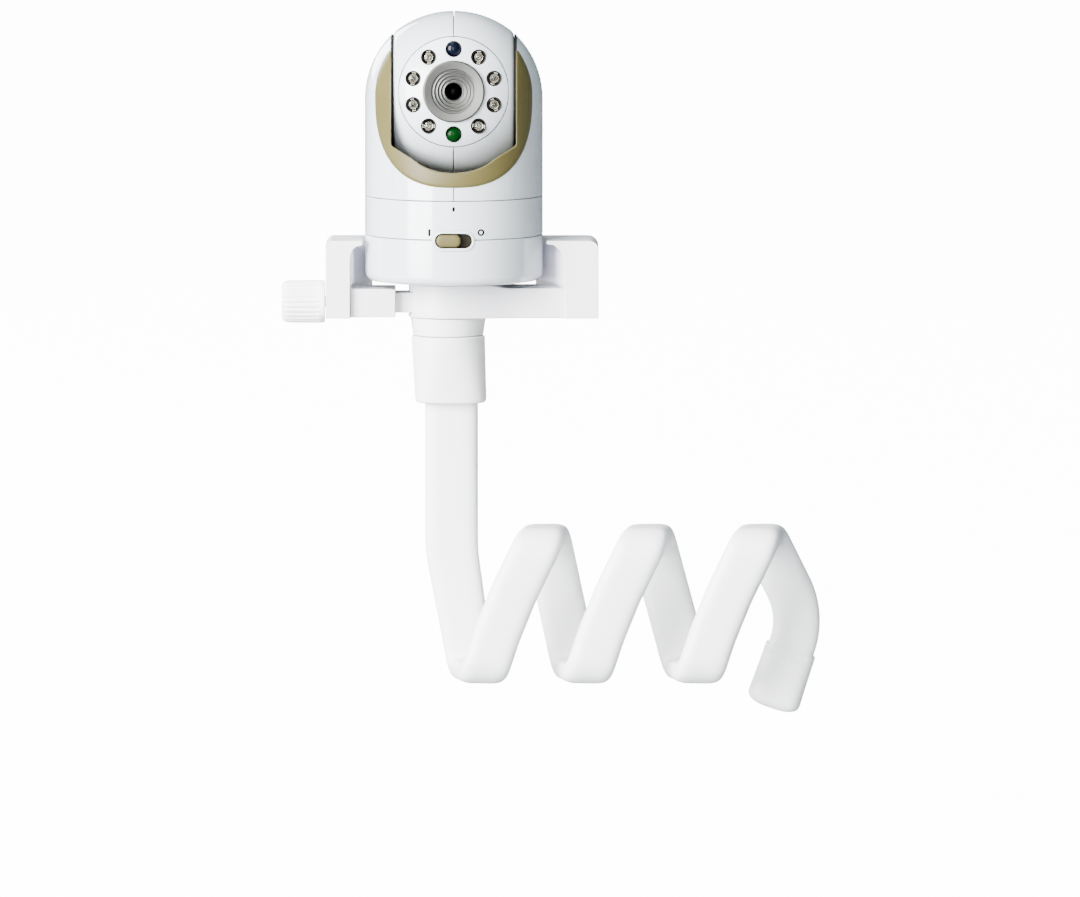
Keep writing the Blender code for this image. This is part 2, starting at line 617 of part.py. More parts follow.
def coil_nodes():
    nodes = [(ARM_X, 0, BEND_Z - BEND_GAP, 0), (ARM_X, 0, -100.0, 60.0)]
    for front in COIL_X:
        nodes += [(front - 5.5, RAIL_BACK_Y, RAIL_LOW_Z, CURL),
                  (front, RAIL_FRONT_Y, RAIL_LOW_Z, CURL),
                  (front + 24.3, RAIL_FRONT_Y, RAIL_TOP_Z, CURL),
                  (front + 29.8, RAIL_BACK_Y, RAIL_TOP_Z, CURL)]
    nodes += [(147.2, 1.5, -142.0, 40.0), (138.3, 3.0, -168.4, 0)]
    return nodes


def arm_parts():
    pivot = (ARM_X, 0, BEND_Z)
    path = rounded_path(coil_nodes())
    add("arm_cover_wrap", strap(path), "arm", pivot=pivot)
    inset = list(path)
    inset[0] = (path[0][0] + path[0][1] * 0.4, path[0][1])
    inset[-1] = (path[-1][0] - path[-1][1] * 1.2, path[-1][1])
    add("arm_core_wrap", skin(sweep(section_frames(inset), CORE)),
        "metal", pivot=pivot)
    down = Vector((0, 0, -1))
    top = [(Vector((ARM_X, 0, z)), down) for z in (-33.5, SOCKET_LOW, BEND_Z + BEND_GAP)]
    add("arm_cover_top", strap(top), "arm", pivot=pivot)
    top = [(Vector((ARM_X, 0, z)), down) for z in (-34.5, BEND_Z + BEND_GAP + 0.4)]
    add("arm_core_top", skin(sweep(section_frames(top), CORE)),
        "metal", pivot=pivot)
    end_cap(path)


def end_cap(path):
    tip, along = path[-1]
    wide = (Vector((1, 0, 0)) - along * along.x).normalized()
    thick = along.cross(wide)
    rows = ((-12.5, 23.6, 11.4), (-12.0, 24.2, 12.0), (0.0, 24.6, 13.4), (12.0, 25.4, 15.0),
            (13.2, 24.6, 14.2), (13.6, 20.0, 10.0))
    rings = []
    for t, w, h in rows:
        outline = round_rect(w, h, h / 2 - 0.4, 5)
        rings.append([tuple(tip + along * t + wide * u + thick * v) for u, v in outline])
    pocket = round_rect(STRAP_W + 0.8, STRAP_T + 0.8, 3.4, 5)
    hole = [[tuple(tip + along * t + wide * u + thick * v) for u, v in pocket]
            for t in (0.5, -12.5)]
    add("arm_end_cap", skin([hole[0], hole[1]] + rings), "arm", pivot=(ARM_X, 0, BEND_Z))


def arm_socket():
    pivot = (ARM_X, 0, BEND_Z)
    at = (ARM_X, 0, 0)
    socket = add("arm_socket", lathe([
        (0, -28.6), (5.3, -28.6), (5.3, -23.2), (15.0, -23.2), (15.5, -23.7),
        (14.9, SOCKET_LOW + 1.5), (14.4, SOCKET_LOW + 0.4), (13.4, SOCKET_LOW),
        (0, SOCKET_LOW)], sides=36, centre=at), "arm", pivot=pivot)
    hole = [(ARM_X + x, y) for x, y in round_rect(STRAP_W + 0.8, STRAP_T + 0.8, 3.4, 3)]
    operate(socket, "cut_socket", prism(hole, -60.0, -33.0))
    add("swivel_stud", lathe([
        (0, -28.3), (5.0, -28.3), (5.0, -17.9), (7.0, -17.9), (7.0, -16.2), (0, -16.2)],
        sides=28, centre=at), "metal", pivot=pivot)


def main():
    wipe_scene()
    for build in (base_cup, base_collar, switch_tray, base_fittings, yoke_shells, yoke_fittings,
                  head_shells, face_plate, lights, lens, clamp_body, clamp_fittings, moving_jaw,
                  knob, arm_parts, arm_socket):
        build()


main()
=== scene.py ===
import json
from math import acos, asin, atan2, copysign, cos, dist, hypot, pi, radians, sin, sqrt, tan

import bmesh
import bpy
import numpy as np
from mathutils import Matrix, Vector
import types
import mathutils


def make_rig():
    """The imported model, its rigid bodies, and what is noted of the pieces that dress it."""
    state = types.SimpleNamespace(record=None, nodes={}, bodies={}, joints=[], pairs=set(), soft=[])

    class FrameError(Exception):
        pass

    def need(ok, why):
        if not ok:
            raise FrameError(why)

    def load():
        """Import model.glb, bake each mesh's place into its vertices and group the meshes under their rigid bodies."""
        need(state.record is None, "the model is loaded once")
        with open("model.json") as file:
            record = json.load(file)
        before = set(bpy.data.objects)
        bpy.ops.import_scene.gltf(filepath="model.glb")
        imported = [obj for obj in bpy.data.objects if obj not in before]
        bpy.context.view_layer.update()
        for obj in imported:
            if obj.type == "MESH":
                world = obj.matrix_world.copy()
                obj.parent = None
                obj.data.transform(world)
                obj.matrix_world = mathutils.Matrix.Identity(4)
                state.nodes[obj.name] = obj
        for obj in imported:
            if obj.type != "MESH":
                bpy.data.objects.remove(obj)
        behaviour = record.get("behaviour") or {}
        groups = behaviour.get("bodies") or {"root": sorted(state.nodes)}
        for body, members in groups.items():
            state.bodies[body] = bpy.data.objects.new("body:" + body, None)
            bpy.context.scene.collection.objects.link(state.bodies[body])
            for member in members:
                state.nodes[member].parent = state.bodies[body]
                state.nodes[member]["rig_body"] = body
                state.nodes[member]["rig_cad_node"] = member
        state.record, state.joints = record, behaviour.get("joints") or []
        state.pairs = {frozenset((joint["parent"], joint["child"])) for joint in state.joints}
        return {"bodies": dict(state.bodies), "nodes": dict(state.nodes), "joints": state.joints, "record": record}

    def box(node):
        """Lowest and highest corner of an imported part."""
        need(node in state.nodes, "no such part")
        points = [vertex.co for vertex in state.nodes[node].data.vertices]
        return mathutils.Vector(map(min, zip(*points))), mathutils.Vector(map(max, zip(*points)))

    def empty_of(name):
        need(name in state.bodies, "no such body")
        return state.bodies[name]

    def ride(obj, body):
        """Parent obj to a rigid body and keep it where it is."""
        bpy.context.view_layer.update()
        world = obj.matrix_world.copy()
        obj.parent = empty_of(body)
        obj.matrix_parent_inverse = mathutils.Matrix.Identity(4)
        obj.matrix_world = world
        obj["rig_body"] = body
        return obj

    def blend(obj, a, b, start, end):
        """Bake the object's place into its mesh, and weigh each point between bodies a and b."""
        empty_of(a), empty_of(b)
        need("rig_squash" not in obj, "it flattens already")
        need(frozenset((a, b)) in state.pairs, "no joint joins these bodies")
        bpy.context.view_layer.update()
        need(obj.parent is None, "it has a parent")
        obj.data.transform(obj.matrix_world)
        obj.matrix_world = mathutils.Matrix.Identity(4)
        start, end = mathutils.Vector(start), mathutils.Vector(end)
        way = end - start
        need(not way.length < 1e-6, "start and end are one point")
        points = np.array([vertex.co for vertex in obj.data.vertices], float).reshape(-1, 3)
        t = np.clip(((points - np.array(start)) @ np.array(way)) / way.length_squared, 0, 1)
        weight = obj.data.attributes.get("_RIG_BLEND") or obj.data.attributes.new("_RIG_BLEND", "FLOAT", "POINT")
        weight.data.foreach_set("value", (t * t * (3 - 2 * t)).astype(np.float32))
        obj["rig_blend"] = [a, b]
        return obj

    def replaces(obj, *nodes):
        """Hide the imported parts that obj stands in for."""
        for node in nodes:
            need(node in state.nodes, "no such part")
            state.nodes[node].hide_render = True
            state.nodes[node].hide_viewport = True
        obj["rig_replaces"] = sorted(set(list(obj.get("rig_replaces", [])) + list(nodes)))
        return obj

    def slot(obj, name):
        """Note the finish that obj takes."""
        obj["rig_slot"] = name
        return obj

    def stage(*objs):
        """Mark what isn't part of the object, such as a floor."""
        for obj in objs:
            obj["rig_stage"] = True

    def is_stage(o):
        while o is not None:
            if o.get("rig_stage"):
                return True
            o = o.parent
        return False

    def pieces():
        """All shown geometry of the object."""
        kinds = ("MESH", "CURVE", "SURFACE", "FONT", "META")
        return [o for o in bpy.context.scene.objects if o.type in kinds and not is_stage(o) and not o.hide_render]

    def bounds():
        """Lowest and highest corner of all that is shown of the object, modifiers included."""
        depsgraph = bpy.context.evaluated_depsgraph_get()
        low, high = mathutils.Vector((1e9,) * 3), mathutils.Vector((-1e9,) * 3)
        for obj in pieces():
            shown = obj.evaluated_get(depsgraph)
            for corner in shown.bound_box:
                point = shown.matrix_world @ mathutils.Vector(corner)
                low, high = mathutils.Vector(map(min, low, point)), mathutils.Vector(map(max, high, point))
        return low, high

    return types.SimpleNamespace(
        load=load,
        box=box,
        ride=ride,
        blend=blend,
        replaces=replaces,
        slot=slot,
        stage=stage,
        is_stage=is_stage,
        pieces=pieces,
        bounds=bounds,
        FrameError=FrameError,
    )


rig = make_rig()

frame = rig.load()
CAD_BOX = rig.bounds()

# ---- where things are, read from the frame ----
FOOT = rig.box("base_foot_ring")
ORIGIN = Vector(((FOOT[0].x + FOOT[1].x) / 2, (FOOT[0].y + FOOT[1].y) / 2, FOOT[0].z))


def span(node):
    """Low and high corner of a CAD node in millimetres from the camera's underside."""
    lo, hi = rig.box(node)
    return (lo - ORIGIN) * 1000, (hi - ORIGIN) * 1000


def middle(node):
    lo, hi = span(node)
    return (lo + hi) / 2


CUP, COLLAR, BAR = span("base_cup"), span("base_collar"), span("clamp_body")
R = (CUP[1].x - CUP[0].x) / 2  # camera body radius
SEAM_LOW, SEAM_HIGH = CUP[1].z, COLLAR[1].z  # tops of cup and collar
HEAD_Z = middle("tilt_stub_left").z  # tilt axis
HEAD_HALF = span("head_right")[1].x  # half width of the head
SLOT_X = HEAD_HALF + 0.9  # half width of the yoke's opening
ARM_X = middle("swivel_stud").x
SCREW_Z = middle("clamp_screw").z
BEND_Z = (span("arm_cover_top")[0].z + span("arm_cover_wrap")[1].z) / 2
SOCKET_LOW = span("arm_socket")[0].z
DOME_Z = HEAD_Z - 2.6  # centre of the dome over the ears
CROWN, HEAD_R = 39.5, 34.3  # head: crown across, radius at the middle
AXIS = (0, 0, HEAD_Z)  # a point on the tilt axis
LOOK_UP = radians(4.5)  # the lens looks this far above level
FACE_R, LED_R = 23.1, 17.9  # face plate, circle of lamps
SWITCH_Z, MARK_Z, MIC_Z = 19.4, 22.9, 32.8  # heights on the front of the base
REAR_Z, REAR_TURN = 11.5, 32  # jack and button: height, degrees off centre
SEAM, GROOVE = 0.15, 0.34  # shell halves: half the gap between them, depth of its groove
HEAD_GAP = 1.2  # between the head and the yoke's cup
SEAM_COLUMNS = 4  # columns of the yoke's skin that run straight down the seam
LIP_LOW = -31.5  # lowest point of the yoke's opening, from the tilt axis
# further corners of its edge: place across and height from the tilt axis
LIP = ((6, -31.0), (10, -29.9), (13.7, -28.3), (17.3, -25.7), (SLOT_X, -20.6))
STRAP_SHIFT = 1.4  # the strap hangs this far right of the swivel
COIL_X = (12.7, 56.6, 103.6)  # front runs of the strap, under the rail
COIL_TOP, COIL_LOW = -107.1, -163.9  # strap centre lines over and under the rail


# ---- materials ----
FINISH = {}


def put(node, **values):
    """Fill in a node's inputs; an underscore stands for a blank in an input's name."""
    for key, value in values.items():
        node.inputs[key.replace("_", " ")].default_value = value


def new_node(tree, kind, operation=None, second=None, **values):
    """A shader node with its operation, second input and named inputs filled in."""
    node = tree.nodes.new("ShaderNode" + kind)
    if operation:
        node.operation = operation
    if second is not None:
        node.inputs[1].default_value = second
    put(node, **values)
    return node


def finish(name, colour, rough=0.35, metal=0.0, coat=0.0, speck=0.03, grain=0.05,
           grain_scale=2500.0, soft=0.0, clear=0.0, ior=1.5, spec=0.5):
    """A moulded or turned surface: mottled colour, uneven gloss and a fine grain."""
    mat = bpy.data.materials.new("look_" + name)
    mat.use_nodes = True
    tree = mat.node_tree
    link, shader = tree.links.new, tree.nodes["Principled BSDF"]
    place = new_node(tree, "TexCoord").outputs["Object"]
    broad = new_node(tree, "TexNoise", Scale=60.0, Detail=4.0)
    fine = new_node(tree, "TexNoise", Scale=grain_scale, Detail=2.0)
    for tex in (broad, fine):
        link(place, tex.inputs["Vector"])
    ramp = new_node(tree, "ValToRGB")
    stops = ramp.color_ramp.elements
    for stop, at, k in zip(stops, (0.3, 0.7), (1 - speck, 1 + speck * 0.5)):
        stop.position = at
        stop.color = (*[min(c * k, 1.0) for c in colour], 1.0)
    gloss = new_node(tree, "MapRange", To_Min=rough * 0.85, To_Max=min(rough * 1.2, 1.0))
    bump = new_node(tree, "Bump", Strength=grain, Distance=0.00004)
    link(broad.outputs["Fac"], ramp.inputs["Fac"])
    link(fine.outputs["Fac"], gloss.inputs["Value"])
    link(fine.outputs["Fac"], bump.inputs["Height"])
    link(ramp.outputs["Color"], shader.inputs["Base Color"])
    link(gloss.outputs["Result"], shader.inputs["Roughness"])
    link(bump.outputs["Normal"], shader.inputs["Normal"])
    put(shader, Metallic=metal, Coat_Weight=coat, Coat_Roughness=0.06, IOR=ior,
        Transmission_Weight=clear, Specular_IOR_Level=spec)
    if soft:
        put(shader, Subsurface_Weight=soft, Subsurface_Radius=(1.0, 0.9, 0.8),
            Subsurface_Scale=0.002)
    FINISH[name] = mat
    return mat


def silver_finish():
    """Lathe-turned metal: fine rings round a forward axis through the head's middle."""
    mat = finish("ring_silver", (0.12, 0.12, 0.112), 0.36, metal=1.0, grain=0.0, speck=0.05)
    tree, centre, rings_per_metre = mat.node_tree, ORIGIN + Vector(AXIS) / 1000, 6000
    at = new_node(tree, "TexCoord").outputs["Object"]
    for kind, operation, second in (
            ("VectorMath", "SUBTRACT", centre), ("VectorMath", "MULTIPLY", (1.0, 0.0, 1.0)),
            ("VectorMath", "LENGTH", None), ("Math", "MULTIPLY", rings_per_metre * 2 * pi),
            ("Math", "SINE", None)):
        node = new_node(tree, kind, operation, second)
        tree.links.new(at, node.inputs[0])
        at = node.outputs["Value" if operation == "LENGTH" else 0]
    bump = new_node(tree, "Bump", Strength=0.06, Distance=0.00002)
    tree.links.new(at, bump.inputs["Height"])
    tree.links.new(bump.outputs["Normal"], tree.nodes["Principled BSDF"].inputs["Normal"])


def board_finish():
    """Solder-mask green with faint copper runs."""
    tree = finish("board_green", (0.012, 0.13, 0.05), 0.3, coat=0.4).node_tree
    link, base = tree.links.new, tree.nodes["Principled BSDF"].inputs["Base Color"]
    brick = new_node(tree, "TexBrick", Scale=240.0, Mortar_Size=0.03)
    mix = new_node(tree, "Mix")
    mix.data_type = "RGBA"
    mix.inputs["B"].default_value = (0.10, 0.30, 0.12, 1.0)
    link(new_node(tree, "TexCoord").outputs["Object"], brick.inputs["Vector"])
    link(brick.outputs["Fac"], mix.inputs["Factor"])
    link(base.links[0].from_socket, mix.inputs["A"])
    link(mix.outputs["Result"], base)


# name, colour, roughness, coat, grain, grain scale, softness
for name, colour, rough, coat, grain, scale, soft in (
        ("shell_white", (0.60, 0.64, 0.665), 0.16, 0.6, 0.03, 900.0, 0.03),
        ("face_white", (0.64, 0.67, 0.69), 0.2, 0.4, 0.03, 2500.0, 0.0),
        ("clamp_white", (0.75, 0.745, 0.77), 0.38, 0.0, 0.08, 1800.0, 0.03),
        ("knob_white", (0.93, 0.925, 0.935), 0.34, 0.0, 0.08, 2500.0, 0.03),
        ("arm_satin", (0.87, 0.87, 0.865), 0.42, 0.0, 0.06, 1300.0, 0.08)):
    finish(name, colour, rough, coat=coat, speck=0.012, grain=grain, grain_scale=scale, soft=soft)
finish("pad_lavender", (0.86, 0.84, 0.94), 0.55, speck=0.02, grain=0.15, grain_scale=1500.0)
finish("arm_cream", (0.85, 0.842, 0.83), 0.5, speck=0.015, grain=0.08, grain_scale=1600.0,
       soft=0.08)
# painted shade: dark brown-beige for the switch recess, standing in for the beige tray in shadow
finish("recess_brown", (0.012, 0.009, 0.003), 0.5, speck=0.06, spec=0.15)
# painted shade: dark brown for the front of the yoke's cup and the slot walls, where the head shades them
finish("lining_brown", (0.04, 0.036, 0.02), 0.7, speck=0.05, grain=0.15, spec=0.1)
# name, colour, roughness, grain, specular level
for name, colour, rough, grain, spec in (
        ("trim_beige", (0.085, 0.072, 0.022), 0.4, 0.06, 0.3),
        ("lens_black", (0.0006, 0.0006, 0.0006), 0.7, 0.05, 0.02),
        ("lens_glass", (0.0004, 0.0003, 0.0006), 0.05, 0.0, 0.025),
        ("led_well", (0.006, 0.0055, 0.005), 0.4, 0.05, 0.25),
        ("led_die", (0.01, 0.006, 0.003), 0.3, 0.05, 0.3),
        ("sensor_navy", (0.0006, 0.0017, 0.0065), 0.07, 0.0, 0.12),
        ("led_green", (0.0002, 0.017, 0.0015), 0.07, 0.0, 0.06),
        # dark_rubber: the rubber foot, and painted shade in the slits beside the head
        ("dark_rubber", (0.004, 0.004, 0.0045), 0.7, 0.3, 0.2),
        ("dark_plastic", (0.002, 0.002, 0.002), 0.5, 0.1, 0.12),
        # print_grey: ink of the printed marks, and painted shade in the microphone hole
        ("print_grey", (0.002, 0.002, 0.0022), 0.6, 0.05, 0.05),
        # seam_grey: painted shade for the dark fills inside the shell seams
        ("seam_grey", (0.004, 0.004, 0.004), 0.8, 0.05, 0.05)):
    finish(name, colour, rough, grain=grain, spec=spec)
finish("led_clear", (0.95, 0.95, 0.93), 0.03, clear=1.0, ior=1.45, grain=0.0)
finish("led_cup", (0.44, 0.41, 0.34), 0.25, metal=1.0, grain=0.02)
finish("steel", (0.60, 0.60, 0.62), 0.28, metal=1.0, grain=0.1)
finish("acetal", (0.75, 0.74, 0.69), 0.4, soft=0.1)
silver_finish()
board_finish()


# ---- geometry ----
def rounded(points, steps=6):
    """Closed 2-D outline whose corners carry a radius as an optional third value."""
    out = []
    for i, p in enumerate(points):
        a, b, c = (np.array(points[k % len(points)][:2], float) for k in (i - 1, i, i + 1))
        out.append(tuple(b))
        if len(p) < 3 or p[2] <= 0:
            continue
        la, lc = np.linalg.norm(a - b), np.linalg.norm(c - b)
        u, v = (a - b) / la, (c - b) / lc
        half = acos(max(-1.0, min(1.0, float(u @ v)))) / 2
        if half > pi / 2 - 1e-3:
            continue
        out.pop()
        t = min(p[2] / tan(half), 0.48 * la, 0.48 * lc)
        r, mid = t * tan(half), b + (u + v) / np.linalg.norm(u + v) * (t / cos(half))
        start, end = (atan2(*(b + w * t - mid)[::-1]) for w in (u, v))
        turn = (end - start + pi) % (2 * pi) - pi
        for k in range(steps + 1):
            a1 = start + turn * k / steps
            out.append((mid[0] + r * cos(a1), mid[1] + r * sin(a1)))
    return out


def circle(count):
    """Angles of evenly spaced points round a full turn."""
    return np.linspace(0, 2 * pi, count + 1)[:-1]


def fuller(v, n):
    """Cosine or sine of a circle pushed out towards a superellipse of power n."""
    return copysign(abs(v) ** (2 / n), v)


def grid(rows, wrap_rows=False, wrap_cols=False):
    """Quads over equal-length rows of points."""
    m, n = len(rows), len(rows[0])
    faces = []
    for i in range(m if wrap_rows else m - 1):
        for j in range(n if wrap_cols else n - 1):
            k, l = (i + 1) % m, (j + 1) % n
            faces.append((i * n + j, i * n + l, k * n + l, k * n + j))
    return [tuple(p) for row in rows for p in row], faces


def closed(rows):
    return grid(rows, True, True)


def merge(*shapes):
    points, faces = [], []
    for pts, fcs in shapes:
        base = len(points)
        points += [tuple(p) for p in pts]
        faces += [tuple(i + base for i in f) for f in fcs]
    return points, faces


def polygon(points):
    return [tuple(p) for p in points], [tuple(range(len(points)))]


def loft(rings):
    """Rings of equally many points, capped at both ends."""
    pts, faces = grid(rings, wrap_cols=True)
    n = len(rings[0])
    return pts, faces + [tuple(range(n - 1, -1, -1)), tuple(range(len(pts) - n, len(pts)))]


def spin(profile, axis="Z", sides=128, centre=(0, 0, 0)):
    """Turn a closed (radius, distance) outline round an axis."""
    ang = circle(sides)
    rows = []
    for r, t in profile:
        c, s, k = r * np.cos(ang), r * np.sin(ang), np.full(sides, float(t))
        parts = {"X": (k, c, s), "Y": (c, k, s), "Z": (c, s, k)}[axis]
        rows.append(np.stack(parts, 1) + np.array(centre, float))
    return closed(rows)


def rod(radius, near, far, axis="Z", sides=48, centre=(0, 0, 0)):
    return spin([(0, near), (radius, near), (radius, far), (0, far)], axis, sides, centre)


def prism(outline, lo, hi, plane="XY"):
    place = {"XY": lambda p, t: (p[0], p[1], t), "XZ": lambda p, t: (p[0], t, p[1]),
             "YZ": lambda p, t: (t, p[0], p[1])}[plane]
    return loft([[place(p, lo) for p in outline], [place(p, hi) for p in outline]])


def box(x0, x1, y0, y1, z0, z1):
    return prism([(x0, y0), (x1, y0), (x1, y1), (x0, y1)], z0, z1)


def pill(w, h, r=None, cx=0.0, cy=0.0, steps=8):
    """Rectangle with rounded corners, or with fully round ends."""
    r = h / 2 - 0.01 if r is None else r
    return rounded([(cx - w / 2, cy - h / 2, r), (cx + w / 2, cy - h / 2, r),
                    (cx + w / 2, cy + h / 2, r), (cx - w / 2, cy + h / 2, r)], steps)


def turned_by(shape, angle, axis="X", centre=(0, 0, 0)):
    spin_by, c = Matrix.Rotation(angle, 4, axis), Vector(centre)
    return [tuple(spin_by @ (Vector(p) - c) + c) for p in shape[0]], shape[1]


def look_up(shape):
    """Turn a face piece about the tilt axis to where the lens looks at rest."""
    return turned_by(shape, -LOOK_UP, "X", AXIS)


def mirror(shape):
    return [(-x, y, z) for x, y, z in shape[0]], shape[1]


def placed(name, data):
    """A new object in the scene."""
    ob = bpy.data.objects.new(name, data)
    bpy.context.scene.collection.objects.link(ob)
    return ob


def solid(name, shape, material):
    """A closed mesh object from (points, faces) in millimetres."""
    bm = bmesh.new()
    made = [bm.verts.new(ORIGIN + Vector(p) / 1000) for p in shape[0]]
    for face in shape[1]:
        if len(set(face)) > 2:
            try:
                bm.faces.new([made[i] for i in face])
            except ValueError:
                pass
    bmesh.ops.remove_doubles(bm, verts=bm.verts, dist=1e-6)
    loose = [e for e in bm.edges if not e.link_faces]
    bmesh.ops.delete(bm, geom=loose, context="EDGES")
    bmesh.ops.delete(bm, geom=[v for v in bm.verts if not v.link_edges], context="VERTS")
    bmesh.ops.recalc_face_normals(bm, faces=bm.faces)
    mesh = bpy.data.meshes.new(name)
    bm.to_mesh(mesh)
    bm.free()
    mesh.materials.append(FINISH[material])
    return placed(name, mesh)


def look(ob):
    return ob.data.materials[0].name.removeprefix("look_")


def settle(ob):
    """Replace an object's mesh with what its modifiers make of it."""
    dg = bpy.context.evaluated_depsgraph_get()
    dg.update()
    mesh = bpy.data.meshes.new_from_object(ob.evaluated_get(dg))
    ob.modifiers.clear()
    old, ob.data = ob.data, mesh
    bpy.data.meshes.remove(old)


def carve(ob, shape, how="DIFFERENCE"):
    tool = solid(ob.name + ".tool", shape, look(ob))
    mod = ob.modifiers.new("carve", "BOOLEAN")
    mod.operation, mod.solver, mod.object = how, "EXACT", tool
    mod.material_mode = "TRANSFER"
    settle(ob)
    bpy.data.objects.remove(tool, do_unlink=True)


def bevel(ob, width, segments=3, angle=30):
    mod = ob.modifiers.new("bevel", "BEVEL")
    mod.width, mod.segments, mod.limit_method = width / 1000, segments, "ANGLE"
    mod.angle_limit = radians(angle)
    settle(ob)


def done(ob, body, replaces=(), slot=None, angle=38, true_normals=None):
    """Shade a finished piece, let it ride on its body and stand for its CAD nodes."""
    mesh = ob.data
    mesh.polygons.foreach_set("use_smooth", [True] * len(mesh.polygons))
    mesh.set_sharp_from_angle(angle=radians(angle))
    mod = ob.modifiers.new("even", "WEIGHTED_NORMAL")
    mod.keep_sharp = True
    settle(ob)
    if true_normals:
        mesh = ob.data
        normals = [tuple(n.vector) for n in mesh.corner_normals]
        for poly in mesh.polygons:
            for loop in poly.loop_indices:
                spot = (mesh.vertices[mesh.loops[loop].vertex_index].co - ORIGIN) * 1000
                n = true_normals(spot)
                if n is not None and n.dot(poly.normal) > 0.85:
                    normals[loop] = tuple(n)
        mesh.normals_split_custom_set(normals)
    if body:
        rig.ride(ob, body)
    if replaces:
        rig.replaces(ob, *replaces)
    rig.slot(ob, slot or look(ob))


def piece(name, shape, material, body, nodes=(), slot=None, **more):
    """A piece that needs no cutting: made, shaded and given to its body in one go."""
    done(solid(name, shape, material), body, nodes, slot, **more)


def bezier(a, b, c, steps):
    """Points of a quadratic curve, both ends included."""
    a, b, c = (np.array(p, float) for p in (a, b, c))
    for k in range(steps + 1):
        t = k / steps
        yield (1 - t) ** 2 * a + 2 * t * (1 - t) * b + t * t * c


# ---- camera base ----
def wall_y(x, z, radius=R):
    """Front of the camera body: a cylinder with a domed top."""
    up = max(0.0, z - DOME_Z)
    return -sqrt(max(radius * radius - x * x - up * up, 0.01))


def round_wall(p):
    """True normal on the round wall of cup and collar."""
    if abs(hypot(p.x, p.y) - R) < 0.02:
        return Vector((p.x, p.y, 0)).normalized()
    return None


def to_rear(shape, side):
    """Turn a shape made along +Y at x = 0 to where the jack or the button sits."""
    return turned_by(shape, radians(REAR_TURN * side), "Z")


def base_shells():
    low, seam, rear = 0.3, SEAM_LOW, (0, 0, REAR_Z)
    prof = rounded([(0, low), (23.7, low, 0.2), (23.7, 1.6, 0.2), (30.3, 1.6, 0.2),
                    (30.3, low, 0.3), (R, low, 3.4), (R, seam, 0.35), (R - 2, seam),
                    (R - 2, 3.4), (0, 3.4)], 8)
    cup = solid("cup_shell", spin(prof, sides=160), "shell_white")
    slot = prism(pill(18.2, 8.8, cy=SWITCH_Z), -41, -30, "XZ")
    carve(cup, slot)
    for z in (9.95, 12.35, 14.75, 17.15):
        carve(cup, prism(pill(11.0, 1.1, cy=z), 33.0, 40.0, "XZ"))
    for radius, side in ((4.5, 1), (3.3, -1)):
        carve(cup, to_rear(rod(radius, 33.0, 40.0, "Y", centre=rear), side))
    for x in (-18.0, 18.0):
        carve(cup, rod(3.3, -1, 1.9, sides=40, centre=(x, 0, 0)))
    done(cup, "camera_base", ["base_cup"], true_normals=round_wall)
    prof = rounded([(R, seam + 0.3, 0.35), (R, SEAM_HIGH, 0.35), (R - 2, SEAM_HIGH), (R - 2, 29.5),
                    (12.3, 29.5), (12.3, 27.5), (R - 2, 27.5), (R - 2, seam + 0.3)], 5)
    collar = solid("collar_shell", spin(prof, sides=160), "shell_white")
    carve(collar, slot)
    hole = [(0.62 * cos(a), MIC_Z + 1.1 * sin(a)) for a in circle(23)]
    carve(collar, prism(hole, -41, -34, "XZ"))
    done(collar, "camera_base", ["base_collar"], true_normals=round_wall)


def switch():
    """Recessed tray whose raised rim follows the round wall, and its slider."""
    rows = []
    rim = [(0.0, 3.5), (0.0, 0.3), (0.03, 0.05), (0.15, -0.14), (0.4, -0.27), (0.8, -0.3),
           (1.05, -0.24), (1.22, -0.08), (1.3, 0.2), (1.33, 0.9)]
    for d, sink in rim:
        ring = pill(18.1 - 2 * d, 8.7 - 2 * d, cy=SWITCH_Z, steps=12)
        rows.append([(x, wall_y(x, z) + sink, z) for x, z in ring])
    for d, y in ((0.0, -34.4), (0.3, -34.0)):
        inner = pill(15.4 - 2 * d, 6.0 - 2 * d, cy=SWITCH_Z, steps=12)
        rows.append([(x, y, z) for x, z in inner])
    tray = solid("switch_tray", loft(rows), "shell_white")
    # the recess's floor and walls take painted shade in dark brown-beige
    tray.data.materials.append(FINISH["recess_brown"])
    for poly in tray.data.polygons:
        c = (poly.center - ORIGIN) * 1000
        inside = abs(c.z - SWITCH_Z) < 3.3 and abs(c.x) < 8
        poly.material_index = int(inside and wall_y(c.x, c.z) + 0.5 < c.y < -33.5)
    done(tray, "camera_base", ["switch_body"])
    x, rows = middle("switch_slider").x, []
    for d, y in ((0.0, -34.1), (0.0, -37.0), (0.12, -37.35), (0.45, -37.6), (1.0, -37.72),
                 (1.8, -37.78), (2.4, -37.8)):
        outline = pill(10.3 - 2 * d, 5.2 - 2 * d, None, x, SWITCH_Z, 12)
        rows.append([(px, y, z) for px, z in outline])
    piece("slider_cap", loft(rows), "trim_beige", "power_switch", ["switch_slider"])


def marks():
    """A dark disc of painted shade in the microphone hole, and the power symbols printed as thin raised ink."""
    def ink(name, outlines, build):
        rows = [[(x, wall_y(x, z, R + lift), z) for x, z in line] for lift, line in outlines]
        piece(name, build(rows), "print_grey", "camera_base", slot="dark_plastic")

    # painted shade: a dark disc just inside the microphone hole makes the hole read dark
    piece("mic_mesh", rod(1.7, -37.15, -35.6, "Y", 32, (0, 0, MIC_Z)), "print_grey",
          "camera_base", slot="dark_plastic")
    inner, outer = ([(11.5 + r * cos(a), MARK_Z + r * sin(a)) for a in circle(48)]
                    for r in (0.72, 1.46))
    ink("mark_off", ((-0.1, inner), (0.03, inner), (0.03, outer), (-0.1, outer)),
        closed)
    bar = pill(1.05, 3.0, 0.08, -10.2, MARK_Z, 2)
    ink("mark_on", ((-0.1, bar), (0.03, bar)), loft)


